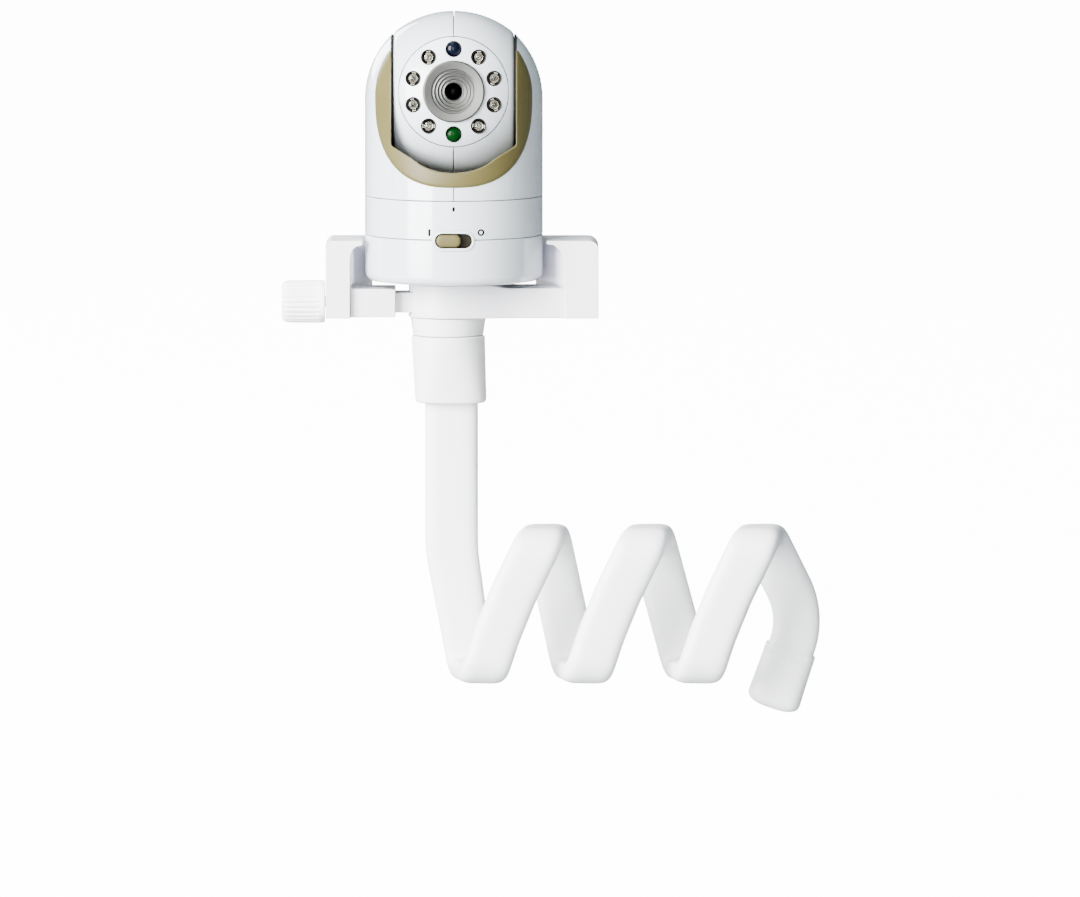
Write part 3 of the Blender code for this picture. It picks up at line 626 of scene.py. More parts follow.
def base_rear():
    at = (0, 0, REAR_Z)
    prof = rounded([(0, 28.0), (4.3, 28.0), (4.3, 37.45, 0.3), (2.9, 37.45, 0.25), (2.9, 30.0),
                    (0, 30.0)], 4)
    piece("jack_barrel", to_rear(spin(prof, "Y", 64, at), 1), "dark_plastic", "camera_base",
          ["power_jack"])
    prof = rounded([(0, 31.5), (4.2, 31.5), (4.2, 33.6), (3.0, 33.6), (3.0, 38.4, 0.5),
                    (1.6, 38.3, 1.0), (0, 38.0)], 5)
    piece("pair_cap", to_rear(spin(prof, "Y", 64, at), -1), "shell_white", "pair_button",
          ["pair_button"])
    prof = rounded([(24.0, 0.0, 0.4), (30.0, 0.0, 0.4), (30.0, 1.3), (24.0, 1.3)], 4)
    piece("foot_ring", spin(prof), "dark_rubber", "camera_base", ["base_foot_ring"])


# ---- yoke ----
def head_radius(x):
    return HEAD_R - (CROWN - sqrt(CROWN ** 2 - x * x))


def edge_line():
    """Opening's edge seen from the front, from the seam to the right and up."""
    line = [(-20.0, 30.0), (-6.0, -31.0), (0.0, LIP_LOW, 20.0)]
    line += [(x, z, 9.0) for x, z in LIP[:-1]] + [(*LIP[-1], 1.4), (SLOT_X, 30.0)]
    line = [(x, z) for x, z in rounded(line, 8) if x > 0.5]
    return [(SEAM, LIP_LOW), (0.27, LIP_LOW), (0.45, LIP_LOW + 0.01)] + line[:-1]


def resample(line, step):
    out = [line[0]]
    for a, b in zip(line, line[1:]):
        n = max(1, round(dist(a, b) / step))
        out += [(a[0] + (b[0] - a[0]) * k / n, a[1] + (b[1] - a[1]) * k / n)
                for k in range(1, n + 1)]
    return out


def on_body(theta, h):
    """Body surface from turn and height, the height running on over the dome."""
    if h <= DOME_Z:
        return R * sin(theta), -R * cos(theta), h
    a = (h - DOME_Z) / R
    return (R * cos(a) * sin(theta), -R * cos(a) * cos(theta),
            DOME_Z + R * sin(a))


def off_body(p):
    up = p[2] - DOME_Z
    return atan2(p[0], -p[1]), p[2] if up <= 0 else DOME_Z + R * asin(up / R)


def edge_stations(d):
    """Start, corner and end points of the rolled edge, front seam to rear seam."""
    lip = [(x, z + HEAD_Z) for x, z in resample(edge_line(), 0.9)]
    lip.insert(1, (lip[0][0] + 0.33, lip[0][1]))
    corner = len(lip) - 1
    lip += [(SLOT_X, z) for z in np.linspace(lip[-1][1], DOME_Z, 16)[1:]]
    flat = np.array(lip)
    along = np.gradient(flat, axis=0)
    along[:4] = (1, 0)
    along /= np.linalg.norm(along, axis=1)[:, None]
    out = flat + d * np.stack([along[:, 1], -along[:, 0]], 1)
    front = []
    for (x, z), (ox, oz) in zip(flat, out):
        y = wall_y(x, z)
        front.append(((ox, wall_y(ox, oz), oz), (x, y, z), (x, y + d, z)))
    rho, rho_out = sqrt(R * R - SLOT_X ** 2), sqrt(R * R - (SLOT_X + d) ** 2)
    arc = []
    for a in np.linspace(0, pi, 61)[1:-1]:
        arc.append([(x, -r * cos(a), DOME_Z + r * sin(a))
                    for x, r in ((SLOT_X + d, rho_out), (SLOT_X, rho), (SLOT_X, rho - d))])
    rear = [tuple((x, -y, z) for x, y, z in trio) for trio in reversed(front)]
    return front + arc + rear, corner, len(front)


def yoke_half():
    """Shell half: outer skin, rolled edge, cup round the head, slot wall and seam."""
    stations, corner, n_front = edge_stations(0.8)
    total, low = len(stations), SEAM_HIGH + 0.3
    cols = []
    for i, (a, e, c) in enumerate(stations):
        theta, h = off_body(a)
        side = min(i, total - 1 - i)
        front_half = i < total / 2
        turn = theta if front_half else pi - theta
        if side < SEAM_COLUMNS:
            base = turn
        elif side <= corner:
            base = turn * (40 / 44.5)
        elif side < n_front:
            base = radians(40 + 20 * (side - corner) / (n_front - corner))
        else:
            base = radians(60 + 30 * (side - n_front + 0.5) / (total / 2 - n_front))
        base = base if front_half else pi - base
        sink = (GROOVE if side == 0 else 0.0) * (1 if front_half else -1)
        x, y, _ = on_body(base, low)
        col = []
        for r_off, z in ((0.3, low), (0.08, low + 0.08)):
            k = (R - r_off) / R
            col.append((x if side < SEAM_COLUMNS else x * k, y * k, z))
        for f in np.linspace(0, 1, 25):
            col.append(on_body(base + (theta - base) * f, low + 0.3 + (h - low - 0.3) * f))
        col += list(bezier(a, e, c, 7))[1:]
        cols.append([(x, y + sink, z) for x, y, z in col])
    skin = grid(cols)
    inner = []
    for i in range(corner + 1):
        x, z = stations[i][1][0], stations[i][1][2]
        front, rear = cols[i][-1], cols[total - 1 - i][-1]
        rc, drop = head_radius(x) + HEAD_GAP, HEAD_Z - z
        beta = 0.55 * acos(min(drop / rc, 1.0))
        y0, z0 = -rc * sin(beta), HEAD_Z - rc * cos(beta)
        dip = 0.06 * (y0 - front[1])
        ledge = [(y0 + (front[1] - y0) * f, z0 + (z - z0) * f - dip * sin(pi * f))
                 for f in np.linspace(1, 0, 14)]
        row = [(front[0], y, dz) for y, dz in ledge]
        row += [(front[0], -rc * sin(b), HEAD_Z - rc * cos(b))
                for b in np.linspace(beta, -beta, 25)[1:-1]]
        row += [(rear[0], -y, dz) for y, dz in reversed(ledge)]
        inner.append(row)
    cup = grid(inner)
    wall = polygon([cols[i][-1] for i in range(corner, total - corner)] + inner[-1][::-1][1:-1])
    seam = polygon(cols[0] + inner[0][1:-1] + cols[-1][::-1])
    floor = polygon([c[0] for c in cols])
    return merge(skin, cup, wall, seam, floor)


def on_shell(p):
    """True normal on the yoke's round wall and the dome over the ears."""
    n = Vector((p.x, p.y, max(0.0, p.z - DOME_Z)))
    return n.normalized() if abs(n.length - R) < 0.02 and p.z < HEAD_Z + 33 else None


def yoke():
    right = yoke_half()
    for side, shape in (("right", right), ("left", mirror(right))):
        ob = solid(f"yoke_shell_{side}", shape, "shell_white")
        # painted shade: the slot walls and the cup's inside in front of the head take dark brown
        ob.data.materials.append(FINISH["lining_brown"])
        for poly in ob.data.polygons:
            c = (poly.center - ORIGIN) * 1000
            wall = abs(abs(c.x) - SLOT_X) < 0.02 and abs(poly.normal.x) > 0.99
            cup = (abs(c.x) < SLOT_X - 0.02 and hypot(c.x, c.y) < R - 1.1
                   and c.z > SEAM_HIGH + 2 and c.y < -6.0)
            poly.material_index = int(wall or cup)
        done(ob, "yoke", [f"yoke_{side}"], true_normals=on_shell)


def seam_shade_fills():
    """Dark tongues of painted shade that close the seams between the moulded halves, so each seam reads as a dark
    line.
    """
    low, deep, rc = SEAM_HIGH + 1.2, R - 0.9, head_radius(0) + HEAD_GAP
    path = [(-deep, low), (-deep, HEAD_Z - 32.4)]
    for y in np.linspace(-30.0, 30.0, 31):
        flat = HEAD_Z - 34.2 + (abs(y) - 9.5) * 0.04
        path.append((y, (HEAD_Z - sqrt(rc * rc - y * y) if abs(y) < 9.5 else flat) - 0.9))
    path += [(deep, HEAD_Z - 32.4), (deep, low)]
    piece("yoke_seam", prism(path, -0.147, 0.147, "YZ"), "seam_grey", "yoke", slot="dark_plastic")
    band = [(r * -cos(a), HEAD_Z + r * sin(a))
            for r, way in ((HEAD_R - 2.05, 1), (HEAD_R - 3.4, -1))
            for a in np.linspace(radians(44), radians(316), 80)[::way]]
    piece("head_seam", look_up(prism(band, -2.0, 2.0, "YZ")), "seam_grey", "head",
          slot="dark_plastic")


def slit_shade_discs():
    """Dark discs of painted shade that fill the slits between head and ears."""
    near, far = HEAD_HALF + 0.02, SLOT_X + 0.2
    for s, side in ((1, "right"), (-1, "left")):
        prof = rounded([(4.6, s * near), (24.2, s * near, 0.1), (24.5, s * (near + 0.23), 0.1),
                        (24.5, s * far), (4.6, s * far)], 3)
        piece(f"washer_{side}", spin(prof, "X", 128, AXIS), "dark_rubber", "yoke")


def by_length(line, count):
    line = np.array(line)
    s = np.concatenate([[0], np.cumsum(np.linalg.norm(np.diff(line, axis=0), axis=1))])
    at = np.linspace(0, s[-1], count)
    return np.stack([np.interp(at, s, line[:, 0]), np.interp(at, s, line[:, 1])], 1)


def trim():
    """U-shaped trim: proud face, bevelled outer rim, and a wall into the opening."""
    tip, wide, count = 18.6, 33.1, 110
    inner = [(0.0, LIP_LOW)] + edge_line()[3:] + [(SLOT_X, tip)]
    outer = [(wide * fuller(sin(t), 2.62), -37.7 * fuller(cos(t), 2.62))
             for t in np.linspace(0, pi / 2, 90)]
    outer += [(wide * sqrt(1 - (z / 32.4) ** 2), z) for z in np.linspace(0.3, tip, 40)]

    def at(q, off, deep=0.0):
        return q[0], wall_y(q[0], q[1] + HEAD_Z, R + off) + deep, q[1] + HEAD_Z

    half = []
    for k, (i, o) in enumerate(zip(by_length(inner, count), by_length(outer, count))):
        width = dist(i, o)
        out = (o - i) / width
        proud = 0.55 * min(1.0, (count - 1 - k) / 5) ** 0.5 + 0.02
        t_in, t_bev = min(0.6, 0.3 * width), min(1.25, 0.4 * width)
        edge = i - out * 0.07
        row = [at(i + out * 0.95, 0, 3.0), at(i + out * 0.32, 0, 1.6)]
        row += list(bezier(at(edge, 0, 0.6), at(edge, proud), at(i + out * t_in, proud), 5))
        for f in (0.35, 0.7):
            q = i + out * (t_in + (width - t_bev - t_in) * f)
            row.append(at(q, proud + 0.05 * sin(pi * f)))
        row += [at(o - out * t_bev, proud), at(o - out * t_bev * 0.86, proud - 0.05),
                at(o - out * t_bev * 0.25, proud * 0.45 + 0.05), at(o - out * 0.07, proud * 0.3),
                at(o, -0.02), at(o, -0.8), at(i + out * width * 0.6, -1.4),
                at(i + out * min(1.6, 0.5 * width), 0, 3.0)]
        half.append(row)
    rows = [[(side * x, y, z) for x, y, z in row]
            for side, part in ((1, half[::-1]), (-1, half[1:])) for row in part]
    piece("trim_band", loft(rows), "trim_beige", "yoke", ["yoke_trim"])


# ---- head ----
def head_point(x, phi, sink=0.0):
    r = head_radius(x) - sink
    return x, -r * cos(phi), HEAD_Z + r * sin(phi)


def face_y(x, w, sink=0.0):
    r = head_radius(x) - sink
    return -sqrt(max(r * r - w * w, 0.01))


def head_half():
    """Barrel half with a round mouth for the face, closed by an inner skin."""
    hole, x_edge, top = FACE_R + 0.3, 23.75, radians(66)
    start = asin(hole / head_radius(SEAM))
    stops = [("seam", pi + (start - pi) * f, pi + (top - pi) * f)
             for f in np.linspace(0, 1, 40)[:-1]]
    stops += [("hole", a, top * a / (pi / 2))
              for a in np.linspace(pi / 2, -pi / 2, 97)]
    stops += [("seam", -start + (start - pi) * f, -top + (top - pi) * f)
              for f in np.linspace(0, 1, 40)[1:-1]]
    r_edge = head_radius(x_edge)
    roll = list(bezier((x_edge, r_edge), (HEAD_HALF, r_edge - 1.25),
                       (HEAD_HALF, r_edge - 3.2), 7))[1:]
    roll += [(HEAD_HALF, 12.0), (HEAD_HALF, 4.6), (23.4, 4.6), (23.4, r_edge - 4.0)]
    rows = []
    for kind, a, phi_o in stops:
        if kind == "seam":
            row = [head_point(SEAM, a, GROOVE), head_point(0.34, a, 0.08)]
            x_i, x_end, phi_i, phi_in = 0.48, SEAM, a, a
        else:
            x_end, w0 = max(hole * cos(a), SEAM), hole * sin(a)
            x_i, wa = max((hole + 0.16) * cos(a), SEAM), (hole + 0.16) * sin(a)
            y0 = face_y(x_end, w0)
            row = list(bezier((x_end, y0 + 0.3, HEAD_Z + w0), (x_end, y0, HEAD_Z + w0),
                              (x_i, face_y(x_i, wa), HEAD_Z + wa), 2))[:2]
            phi_i = asin(wa / head_radius(x_i))
            phi_in = asin(max(-1, min(1, w0 / (head_radius(x_end) - 2.0))))
        for f in np.linspace(0, 1, 15):
            row.append(head_point(x_i + (x_edge - x_i) * f, phi_i + (phi_o - phi_i) * f))
        for x, r in roll:
            row.append((x, -r * cos(phi_o), HEAD_Z + r * sin(phi_o)))
        for f in np.linspace(0, 1, 9):
            x = 22.6 + (min(x_end, 22.6) - 22.6) * f
            row.append(head_point(x, phi_o + (phi_in - phi_o) * f, 2.0))
        rows.append(row)
    return closed(rows)


def on_head(p):
    """True normal on the head's barrel, in place."""
    if abs(p.x) > 23.7:
        return None
    y, w = p.y, p.z - HEAD_Z
    if abs(hypot(y, w) - head_radius(p.x)) > 0.015:
        return None
    r = head_radius(p.x)
    return Vector((r * p.x / sqrt(CROWN ** 2 - p.x ** 2), y, w)).normalized()


def head():
    right = look_up(head_half())
    for side, shape in (("right", right), ("left", mirror(right))):
        piece(f"head_shell_{side}", shape, "shell_white", "head", [f"head_{side}"],
              true_normals=on_head)


def led_spots():
    for k in range(10):
        a = radians(90 - 36 * k)
        yield k, LED_R * cos(a), LED_R * sin(a)


def face():
    rows = []
    lines = [(12.6, 1.9), (12.6, 0.3), (12.75, 0.05)]
    lines += [(r, 0.0) for r in np.linspace(13.0, FACE_R - 0.28, 22)]
    lines += [(FACE_R - 0.12, 0.04), (FACE_R - 0.02, 0.16), (FACE_R, 0.35), (FACE_R, 1.9)]
    for r, sink in lines:
        ring = [(r * cos(a), r * sin(a)) for a in circle(192)]
        rows.append([(x, face_y(x, w) + sink, HEAD_Z + w) for x, w in ring])
    plate = solid("face_disc", look_up(closed(rows)), "face_white")
    for k, x, w in led_spots():
        r = 3.5 if k in (0, 5) else 3.3
        carve(plate, look_up(rod(r, -38, -18, "Y", 64, (x, 0, HEAD_Z + w))))
    done(plate, "head", ["face_plate"], "shell_white", true_normals=on_head)


def lamp(number, x, w, turn):
    """Clear lamp in a dark well: bright cup, chip and lead bars under a dome."""
    def part(name, shape, material, nodes=()):
        piece(f"lamp_{number}_{name}", look_up(shape), material, "head", nodes, "led_clear")

    def lead(dx, reach, high, y0, y1):
        block = box(x + dx - reach, x + dx + reach, y0, y1, at[2] - high, at[2] + high)
        return turned_by(block, turn, "Y", at)

    y, at = face_y(x, w), (x, 0, HEAD_Z + w)
    tilt = abs(x) * 0.07
    well = rounded([(3.28, y + 0.35 + tilt, 0.06), (3.28, y + 4.5), (0, y + 4.5), (0, y + 3.4),
                    (2.85, y + 3.4), (2.85, y + 0.5 + tilt, 0.1)], 3)
    part("well", spin(well, "Y", 64, at), "led_well")
    front = y + 0.2 + tilt
    dome = [(0, front)] + [(2.6 * sin(a), front + 1.9 - 1.9 * cos(a))
                           for a in np.linspace(0.15, pi / 2, 12)]
    dome += [(2.6, front + 2.6), (2.8, front + 2.6), (2.8, front + 3.1), (0, front + 3.1)]
    part("lens", spin(dome, "Y", 48, at), "led_clear", [f"ir_led_{number}"])
    cup = rounded([(0, front + 2.2), (0.6, front + 2.2, 0.1), (1.3, front + 1.4, 0.05),
                   (1.65, front + 1.3, 0.1), (1.85, front + 2.0, 0.1), (1.85, front + 2.9),
                   (0, front + 2.9)], 3)
    bars = [lead(dx, 0.65, 0.75, front + 1.15, front + 2.2) for dx in (-1.9, 1.9)]
    ob = solid(f"lamp_{number}_cup", look_up(merge(spin(cup, "Y", 40, at), *bars)), "led_cup")
    bevel(ob, 0.05, 2)
    done(ob, "head", slot="led_clear")
    part("chip", lead(0, 0.35, 0.35, front + 2.0, front + 2.28), "led_die")


def domed(name, material, x, w, node):
    """Glossy domed window: the light sensor and the status light."""
    y, at, r = face_y(x, w), (x, 0, HEAD_Z + w), 3.25
    dome = [(0, y - 0.35)]
    dome += [(r * 0.92 * sin(a), y + 1.25 - 1.6 * cos(a))
             for a in np.linspace(0.12, pi / 2, 14)]
    dome += [(r * 0.94, y + 1.5), (r, y + 1.6), (r, y + 3.5), (0, y + 3.5)]
    piece(name, look_up(spin(dome, "Y", 64, at)), material, "head", [node])


def lights():
    turns = iter((1.6, 1.9, 1.2, 0.1, 0.0, 1.4, 1.7, 1.5))
    number = 0
    for k, x, w in led_spots():
        if k == 0:
            domed("sensor_window", "sensor_navy", x, w, "light_sensor")
        elif k == 5:
            domed("status_window", "led_green", x, w, "status_led")
        else:
            number += 1
            lamp(number, x, w, next(turns))


def lens():
    hood = [(13.0, -27.5), (13.05, -33.0, 0.35), (12.5, -33.5, 0.3), (9.4, -33.1, 0.15)]
    for k in range(4):
        r, y = 9.15 - 1.42 * k, -32.75 + 0.6 * k
        hood += [(r, y + 0.42, 0.12), (r - 0.35, y + 0.46, 0.12), (r - 1.0, y - 0.02, 0.3)]
    hood += [(3.5, -28.6, 0.1), (3.4, -27.2), (8.6, -27.2), (8.6, -26.2), (12.4, -26.2)]
    tube = rounded([(0, -20.0), (8.0, -20.0), (8.0, -26.4, 0.2), (3.5, -26.4, 0.15),
                    (3.2, -25.0, 0.1), (3.1, -22.0), (0, -22.0)], 3)
    glass = [(0, -21.8), (3.0, -21.8), (3.0, -22.9)]
    glass += [(3.0 * sin(a), -22.4 - 1.2 * cos(a)) for a in np.linspace(1.35, 0.1, 10)]
    glass += [(0, -23.6)]
    for name, prof, sides, material, body, node, angle in (
            ("lens_ring", rounded(hood, 4), 160, "ring_silver", "lens_hood", "lens_hood", 32),
            ("lens_tube", tube, 96, "lens_black", "head", "lens_barrel", 38),
            ("lens_front", glass, 64, "lens_glass", "head", "lens_glass", 38)):
        piece(name, look_up(spin(prof, "Y", sides, AXIS)), material, body, [node], angle=angle)


# ---- clamp ----
def bar_depth(x, boss=16.8, bar=12.0):
    """Half depth of the clamp's bar: a round boss easing into a straight bar."""
    dx = x - ARM_X
    if dx <= 0:
        return sqrt(max(boss ** 2 - dx * dx, 0.0))
    return bar + (boss - bar) * (0.5 + 0.5 * cos(pi * min(dx / 32.0, 1.0)))


def clamp_bar():
    low, bar_top, rows = BAR[0].z, -2.5, []
    xs = [ARM_X - 16.8 * cos(a) for a in np.linspace(0.12, pi / 2, 34)]
    for x in xs + list(np.linspace(ARM_X + 0.8, 46.5, 64)):
        d = bar_depth(x)
        f = min(max((24.0 - x) / 9.0, 0.0), 1.0)
        top = bar_top + 1.25 * f * f * (3 - 2 * f)
        section = pill(2 * d, top - low, min(0.7, 0.6 * d), 0, (top + low) / 2, 5)
        rows.append([(x, y, z) for y, z in section])
    for x, k in ((46.8, 0.15), (46.95, 0.5)):
        section = pill(24.0 - 2 * k, bar_top - low - 2 * k, 0.7, 0, (bar_top + low) / 2, 5)
        rows.append([(x, y, z) for y, z in section])
    ob = solid("clamp_bar", loft(rows), "clamp_white")
    carve(ob, box(-30.0, 26.0, -7.3, 7.3, -13.5, -4.5))
    done(ob, "clamp")


def jaw_body(name, plan, web, corner, body, node):
    """Upright jaw: plan outline, arched web over the opening, rounded outer corner."""
    low, top = BAR[0].z, BAR[1].z
    ob = solid(name, prism(plan, low, top), "clamp_white")
    carve(ob, prism(web, -14.5, 1.0, "XZ"), "UNION")
    x, r, s = corner
    keep = rounded([(-20 * s, low - 5), (x, low - 5), (x, top, r), (-20 * s, top)], 8)
    carve(ob, prism(keep, -30, 30, "XZ"), "INTERSECT")
    if body == "jaw":
        carve(ob, box(-60, -20, -2.9, 2.9, SCREW_Z - 2.9, SCREW_Z + 2.9))
    bevel(ob, 0.6, 3)
    done(ob, body, [node])


def clamp():
    top = BAR[1].z
    clamp_bar()
    plan = [(47.3, -14.5), (61.0, -14.5), (61.0, 13.0), (56.5, 18.0), (34.4, 18.0), (42.75, 2.0)]
    web = [(50.0, 0.0), (50.0, top), (39.2, top), (39.2, 16.3), (41.9, 16.0), (43.6, 14.8),
           (45.2, 12.6), (46.5, 9.4), (47.3, 5.0), (47.5, 0.0)]
    jaw_body("clamp_fixed_jaw", plan, web, (61.0, 4.0, 1), "clamp", "clamp_body")
    plan = [(-54.0, -14.5), (-43.9, -14.5), (-42.75, 2.0), (-34.4, 18.0), (-50.5, 18.0),
            (-54.1, 14.0)]
    web = [(-47.0, 4.0), (-47.0, top), (-38.6, top), (-38.6, 15.9), (-41.1, 15.4),
           (-42.7, 14.0), (-43.7, 11.6), (-44.1, 8.0), (-44.1, 4.0)]
    jaw_body("clamp_moving_jaw", plan, web, (-54.1, 3.5, -1), "jaw", "clamp_jaw")
    for name, block, hollow, edge, segments in (
            ("jaw_block", (-43.6, -24.6, -11.5, 11.5, -14.9, -2.9),
             (-60, -20, -5.6, 5.6, -12.3, -5.4), 0.45, 3),
            ("jaw_tongue", (-26.0, 25.0, -7.0, 7.0, -13.2, -4.8),
             (-30, 30.0, -5.3, 5.3, -12.1, 0.0), 0.3, 2)):
        ob = solid(name, box(*block), "clamp_white")
        carve(ob, box(*hollow))
        bevel(ob, edge, segments)
        done(ob, "jaw")
    for name, body, pad in (
            ("right", "clamp", [(46.85, -13.6), (47.25, -13.4), (42.7, 2.2), (34.33, 17.35),
                                (33.71, 17.02), (41.64, 2.0)]),
            ("left", "jaw", [(-43.45, -13.6), (-43.85, -13.4), (-42.7, 2.2), (-34.33, 17.35),
                             (-33.71, 17.02), (-41.64, 2.0)])):
        ob = solid(f"pad_{name}", prism(pad, -1.0, 14.6), "pad_lavender")
        bevel(ob, 0.15, 2)
        done(ob, body, [f"jaw_pad_{name}"])
    prof = rounded([(0, -2.3), (14.3, -2.3), (14.3, -0.4, 0.4), (0, -0.4)], 4)
    piece("seat_disc", spin(prof, sides=96), "pad_lavender", "clamp", ["seat_pad"])


def knob():
    """Thumb knob: rings of (place, radius, flute depth) from the end to the bore."""
    flutes, points = 24, 12
    outer = ((-72.55, 3.0, 0.0), (-72.6, 6.4, 0.0), (-72.45, 7.3, 0.1), (-72.05, 8.0, 0.35),
             (-71.4, 8.5, 0.7), (-70.4, 8.8, 0.95), (-69.0, 8.93, 1.0), (-66.0, 9.0, 1.0),
             (-58.2, 9.05, 1.0), (-57.2, 9.05, 0.9), (-56.6, 9.0, 0.2), (-56.3, 8.95, 0.0),
             (-54.9, 8.9, 0.0), (-54.5, 8.6, 0.0), (-54.4, 8.2, 0.0), (-54.4, 2.7, 0.0),
             (-62.0, 2.7, 0.0), (-62.0, 0.0, 0.0), (-72.55, 0.0, 0.0))
    rows = []
    for x, r, depth in outer:
        ring = []
        for k, a in enumerate(circle(flutes * points)):
            f = abs((k % points) / (points / 2) - 1)
            rr = max(r - 0.75 * depth * f ** 2.2, 0.0)
            ring.append((x, rr * cos(a), SCREW_Z + rr * sin(a)))
        rows.append(ring)
    piece("knob_grip", closed(rows), "knob_white", "knob",
          ["clamp_knob"], "clamp_white", angle=50)


# ---- arm ----
def strap_nodes():
    """Corner points of the strap's centre line with the radius to bend to at each."""
    down_x, front_y, bend, sway = ARM_X + STRAP_SHIFT, -32.0, 7.5, 90.0
    nodes = [(down_x, 0, -36.0, 0), (down_x, 0, -114.0, 70.0)]
    for x in COIL_X:
        nodes += [(x - 5.5, 0, COIL_LOW, bend), (x, front_y, COIL_LOW, bend)]
        for f in (0.3, 0.6):
            z = COIL_LOW + (COIL_TOP - COIL_LOW) * f
            nodes.append((x + 17.0 * f + 6.5 * f * f, front_y, z, sway))
        nodes += [(x + 23.5, front_y, COIL_TOP, bend), (x + 26.3, 0, COIL_TOP, bend)]
    return nodes + [(147.2, 1.5, -142.0, 40.0), (138.3, 3.0, -168.4, 0)]


def rounded_path(nodes, straight=3.0):
    """Smooth centre line through the nodes, each corner bent to its own radius."""
    spots = [Vector(n[:3]) for n in nodes]
    path = [spots[0]]
    for i in range(1, len(nodes) - 1):
        b, radius = spots[i], nodes[i][3]
        u, v = spots[i - 1] - b, spots[i + 1] - b
        la, lc = u.length, v.length
        u.normalize(), v.normalize()
        half = u.angle(v) / 2
        t = min(radius / tan(half), 0.48 * la, 0.48 * lc)
        r = t * tan(half)
        mid = b + (u + v).normalized() * (r / sin(half))
        lo, hi = b + u * t - mid, b + v * t - mid
        count = max(2, round(r * (pi - 2 * half) / 1.1))
        path += [mid + lo.slerp(hi, k / count).normalized() * r for k in range(count + 1)]
    path.append(spots[-1])
    out = [path[0]]
    for a, b in zip(path, path[1:]):
        n = max(1, round((b - a).length / straight))
        out += [a.lerp(b, k / n) for k in range(1, n + 1)]
    return [p for i, p in enumerate(out) if i == 0 or (p - out[i - 1]).length > 1e-4]


def strap_frames(path):
    pts = np.array([tuple(p) for p in path])
    along = np.gradient(pts, axis=0)
    along /= np.linalg.norm(along, axis=1)[:, None]
    wide = np.array([1.0, 0, 0]) - along * along[:, :1]
    for _ in range(4):
        wide[1:-1] = (wide[:-2] + 2 * wide[1:-1] + wide[2:]) / 4
        wide -= along * np.sum(wide * along, 1)[:, None]
        wide /= np.linalg.norm(wide, axis=1)[:, None]
    return pts, wide, np.cross(along, wide), along


def strap_outline(half_w=11.15, half_t=4.6, count=56):
    return [(half_w * fuller(cos(a), 4.2), half_t * fuller(sin(a), 2.5))
            for a in circle(count)]


def arm():
    path = rounded_path(strap_nodes())
    pts, wide, thick, along = strap_frames(path)
    gone = np.concatenate([[0], np.cumsum(np.linalg.norm(np.diff(pts, axis=0), axis=1))])
    slim = 1 - 0.11 * np.clip((gone - 75.0) / 45.0, 0, 1)
    rows = [[tuple(p + w * u * k + t * v) for u, v in strap_outline()]
            for p, w, t, k in zip(pts, wide, thick, slim)]
    ob = solid("arm_strap", loft(rows), "arm_satin")
    done(ob, None, ["arm_cover_wrap", "arm_cover_top"], "arm_cream", angle=60)
    start, end = (ORIGIN + Vector((ARM_X, 0, BEND_Z + dz)) / 1000 for dz in (-18, 18))
    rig.blend(ob, "arm_wrap", "arm_top", start=start, end=end)
    end_cap(pts[-1], wide[-1], thick[-1], along[-1])


def end_cap(tip, wide, thick, along):
    """Flared rubber end with fine rings near its mouth and a soft, domed end."""
    outer = [(-12.0, 23.9, 11.8), (-12.5, 24.6, 12.4)]
    for k in range(3):
        t, more = -11.9 + 1.25 * k, np.array((k * 0.08, k * 0.12))
        for step, size in ((0, (24.9, 12.9)), (0.75, (24.9, 12.9)),
                           (0.92, (24.5, 12.5)), (1.08, (24.5, 12.5))):
            outer.append((t + step, *(size + more)))
    outer += [(-8.0, 25.0, 13.2), (-2.0, 25.2, 13.8), (5.0, 25.6, 14.6), (9.2, 25.9, 15.0),
              (10.2, 25.6, 14.8), (11.1, 24.8, 14.2), (12.0, 22.8, 12.8), (12.8, 19.4, 10.8),
              (13.4, 15.0, 8.2), (13.75, 9.0, 5.0), (13.85, 3.5, 2.0)]
    rows = [[tuple(tip + along * t + wide * (w * 0.44) * u + thick * (h / 2) * v)
             for u, v in strap_outline(1.0, 1.0, 72)] for t, w, h in outer]
    piece("arm_tip", loft(rows), "arm_satin", "arm_wrap", ["arm_end_cap"], "arm_cream")


def sleeve():
    """Socket that flattens and shifts from the round swivel down to the strap."""
    steps = [(-23.25, 14.6, 0.0), (-23.3, 15.0, 0.0), (-23.7, 15.45, 0.0)]
    steps += [(z, 15.5 - 0.5 * k / 10, k / 10) for k, z in enumerate(np.linspace(-24.6, -49.6, 11))]
    steps += [(-50.4, 14.95, 1.0), (-51.0, 14.75, 1.0), (-51.4, 14.3, 1.0), (SOCKET_LOW, 13.5, 1.0)]
    rows = []
    for z, a, f in steps:
        b, n = a * (1 - 0.28 * f), 2 + 0.9 * f
        rows.append([(ARM_X + 1.1 * f + a * fuller(cos(t), n), b * fuller(sin(t), n), z)
                     for t in circle(128)])
    ob = solid("arm_sleeve", loft(rows), "arm_cream")
    carve(ob, prism(pill(23.0, 10.3, 4.9, ARM_X + STRAP_SHIFT, 0, 12), -60.0, -33.0))
    carve(ob, rod(5.4, -28.4, -20, centre=(ARM_X, 0, 0)))
    done(ob, "arm_top", ["arm_socket"])
    prof = rounded([(5.4, -22.9), (14.8, -22.9, 0.3), (15.9, -15.5, 0.2), (7.5, -15.5),
                    (7.5, -18.2), (5.4, -18.2)], 4)
    owner = next(body for body, nodes in frame["record"]["behaviour"]["bodies"].items()
                 if "swivel_collar" in nodes)
    piece("swivel_ring", spin(prof, centre=(ARM_X, 0, 0)), "arm_cream", owner, ["swivel_collar"])


# ---- the rest of the CAD, the set and the camera ----
WORKING = {"board_green": ["board"], "acetal": ["gear", "pinion", "bush"],
           "dark_plastic": ["speaker"],
           "steel": ["motor", "screw", "nut", "stud", "stub", "core", "ring", "microphone"]}


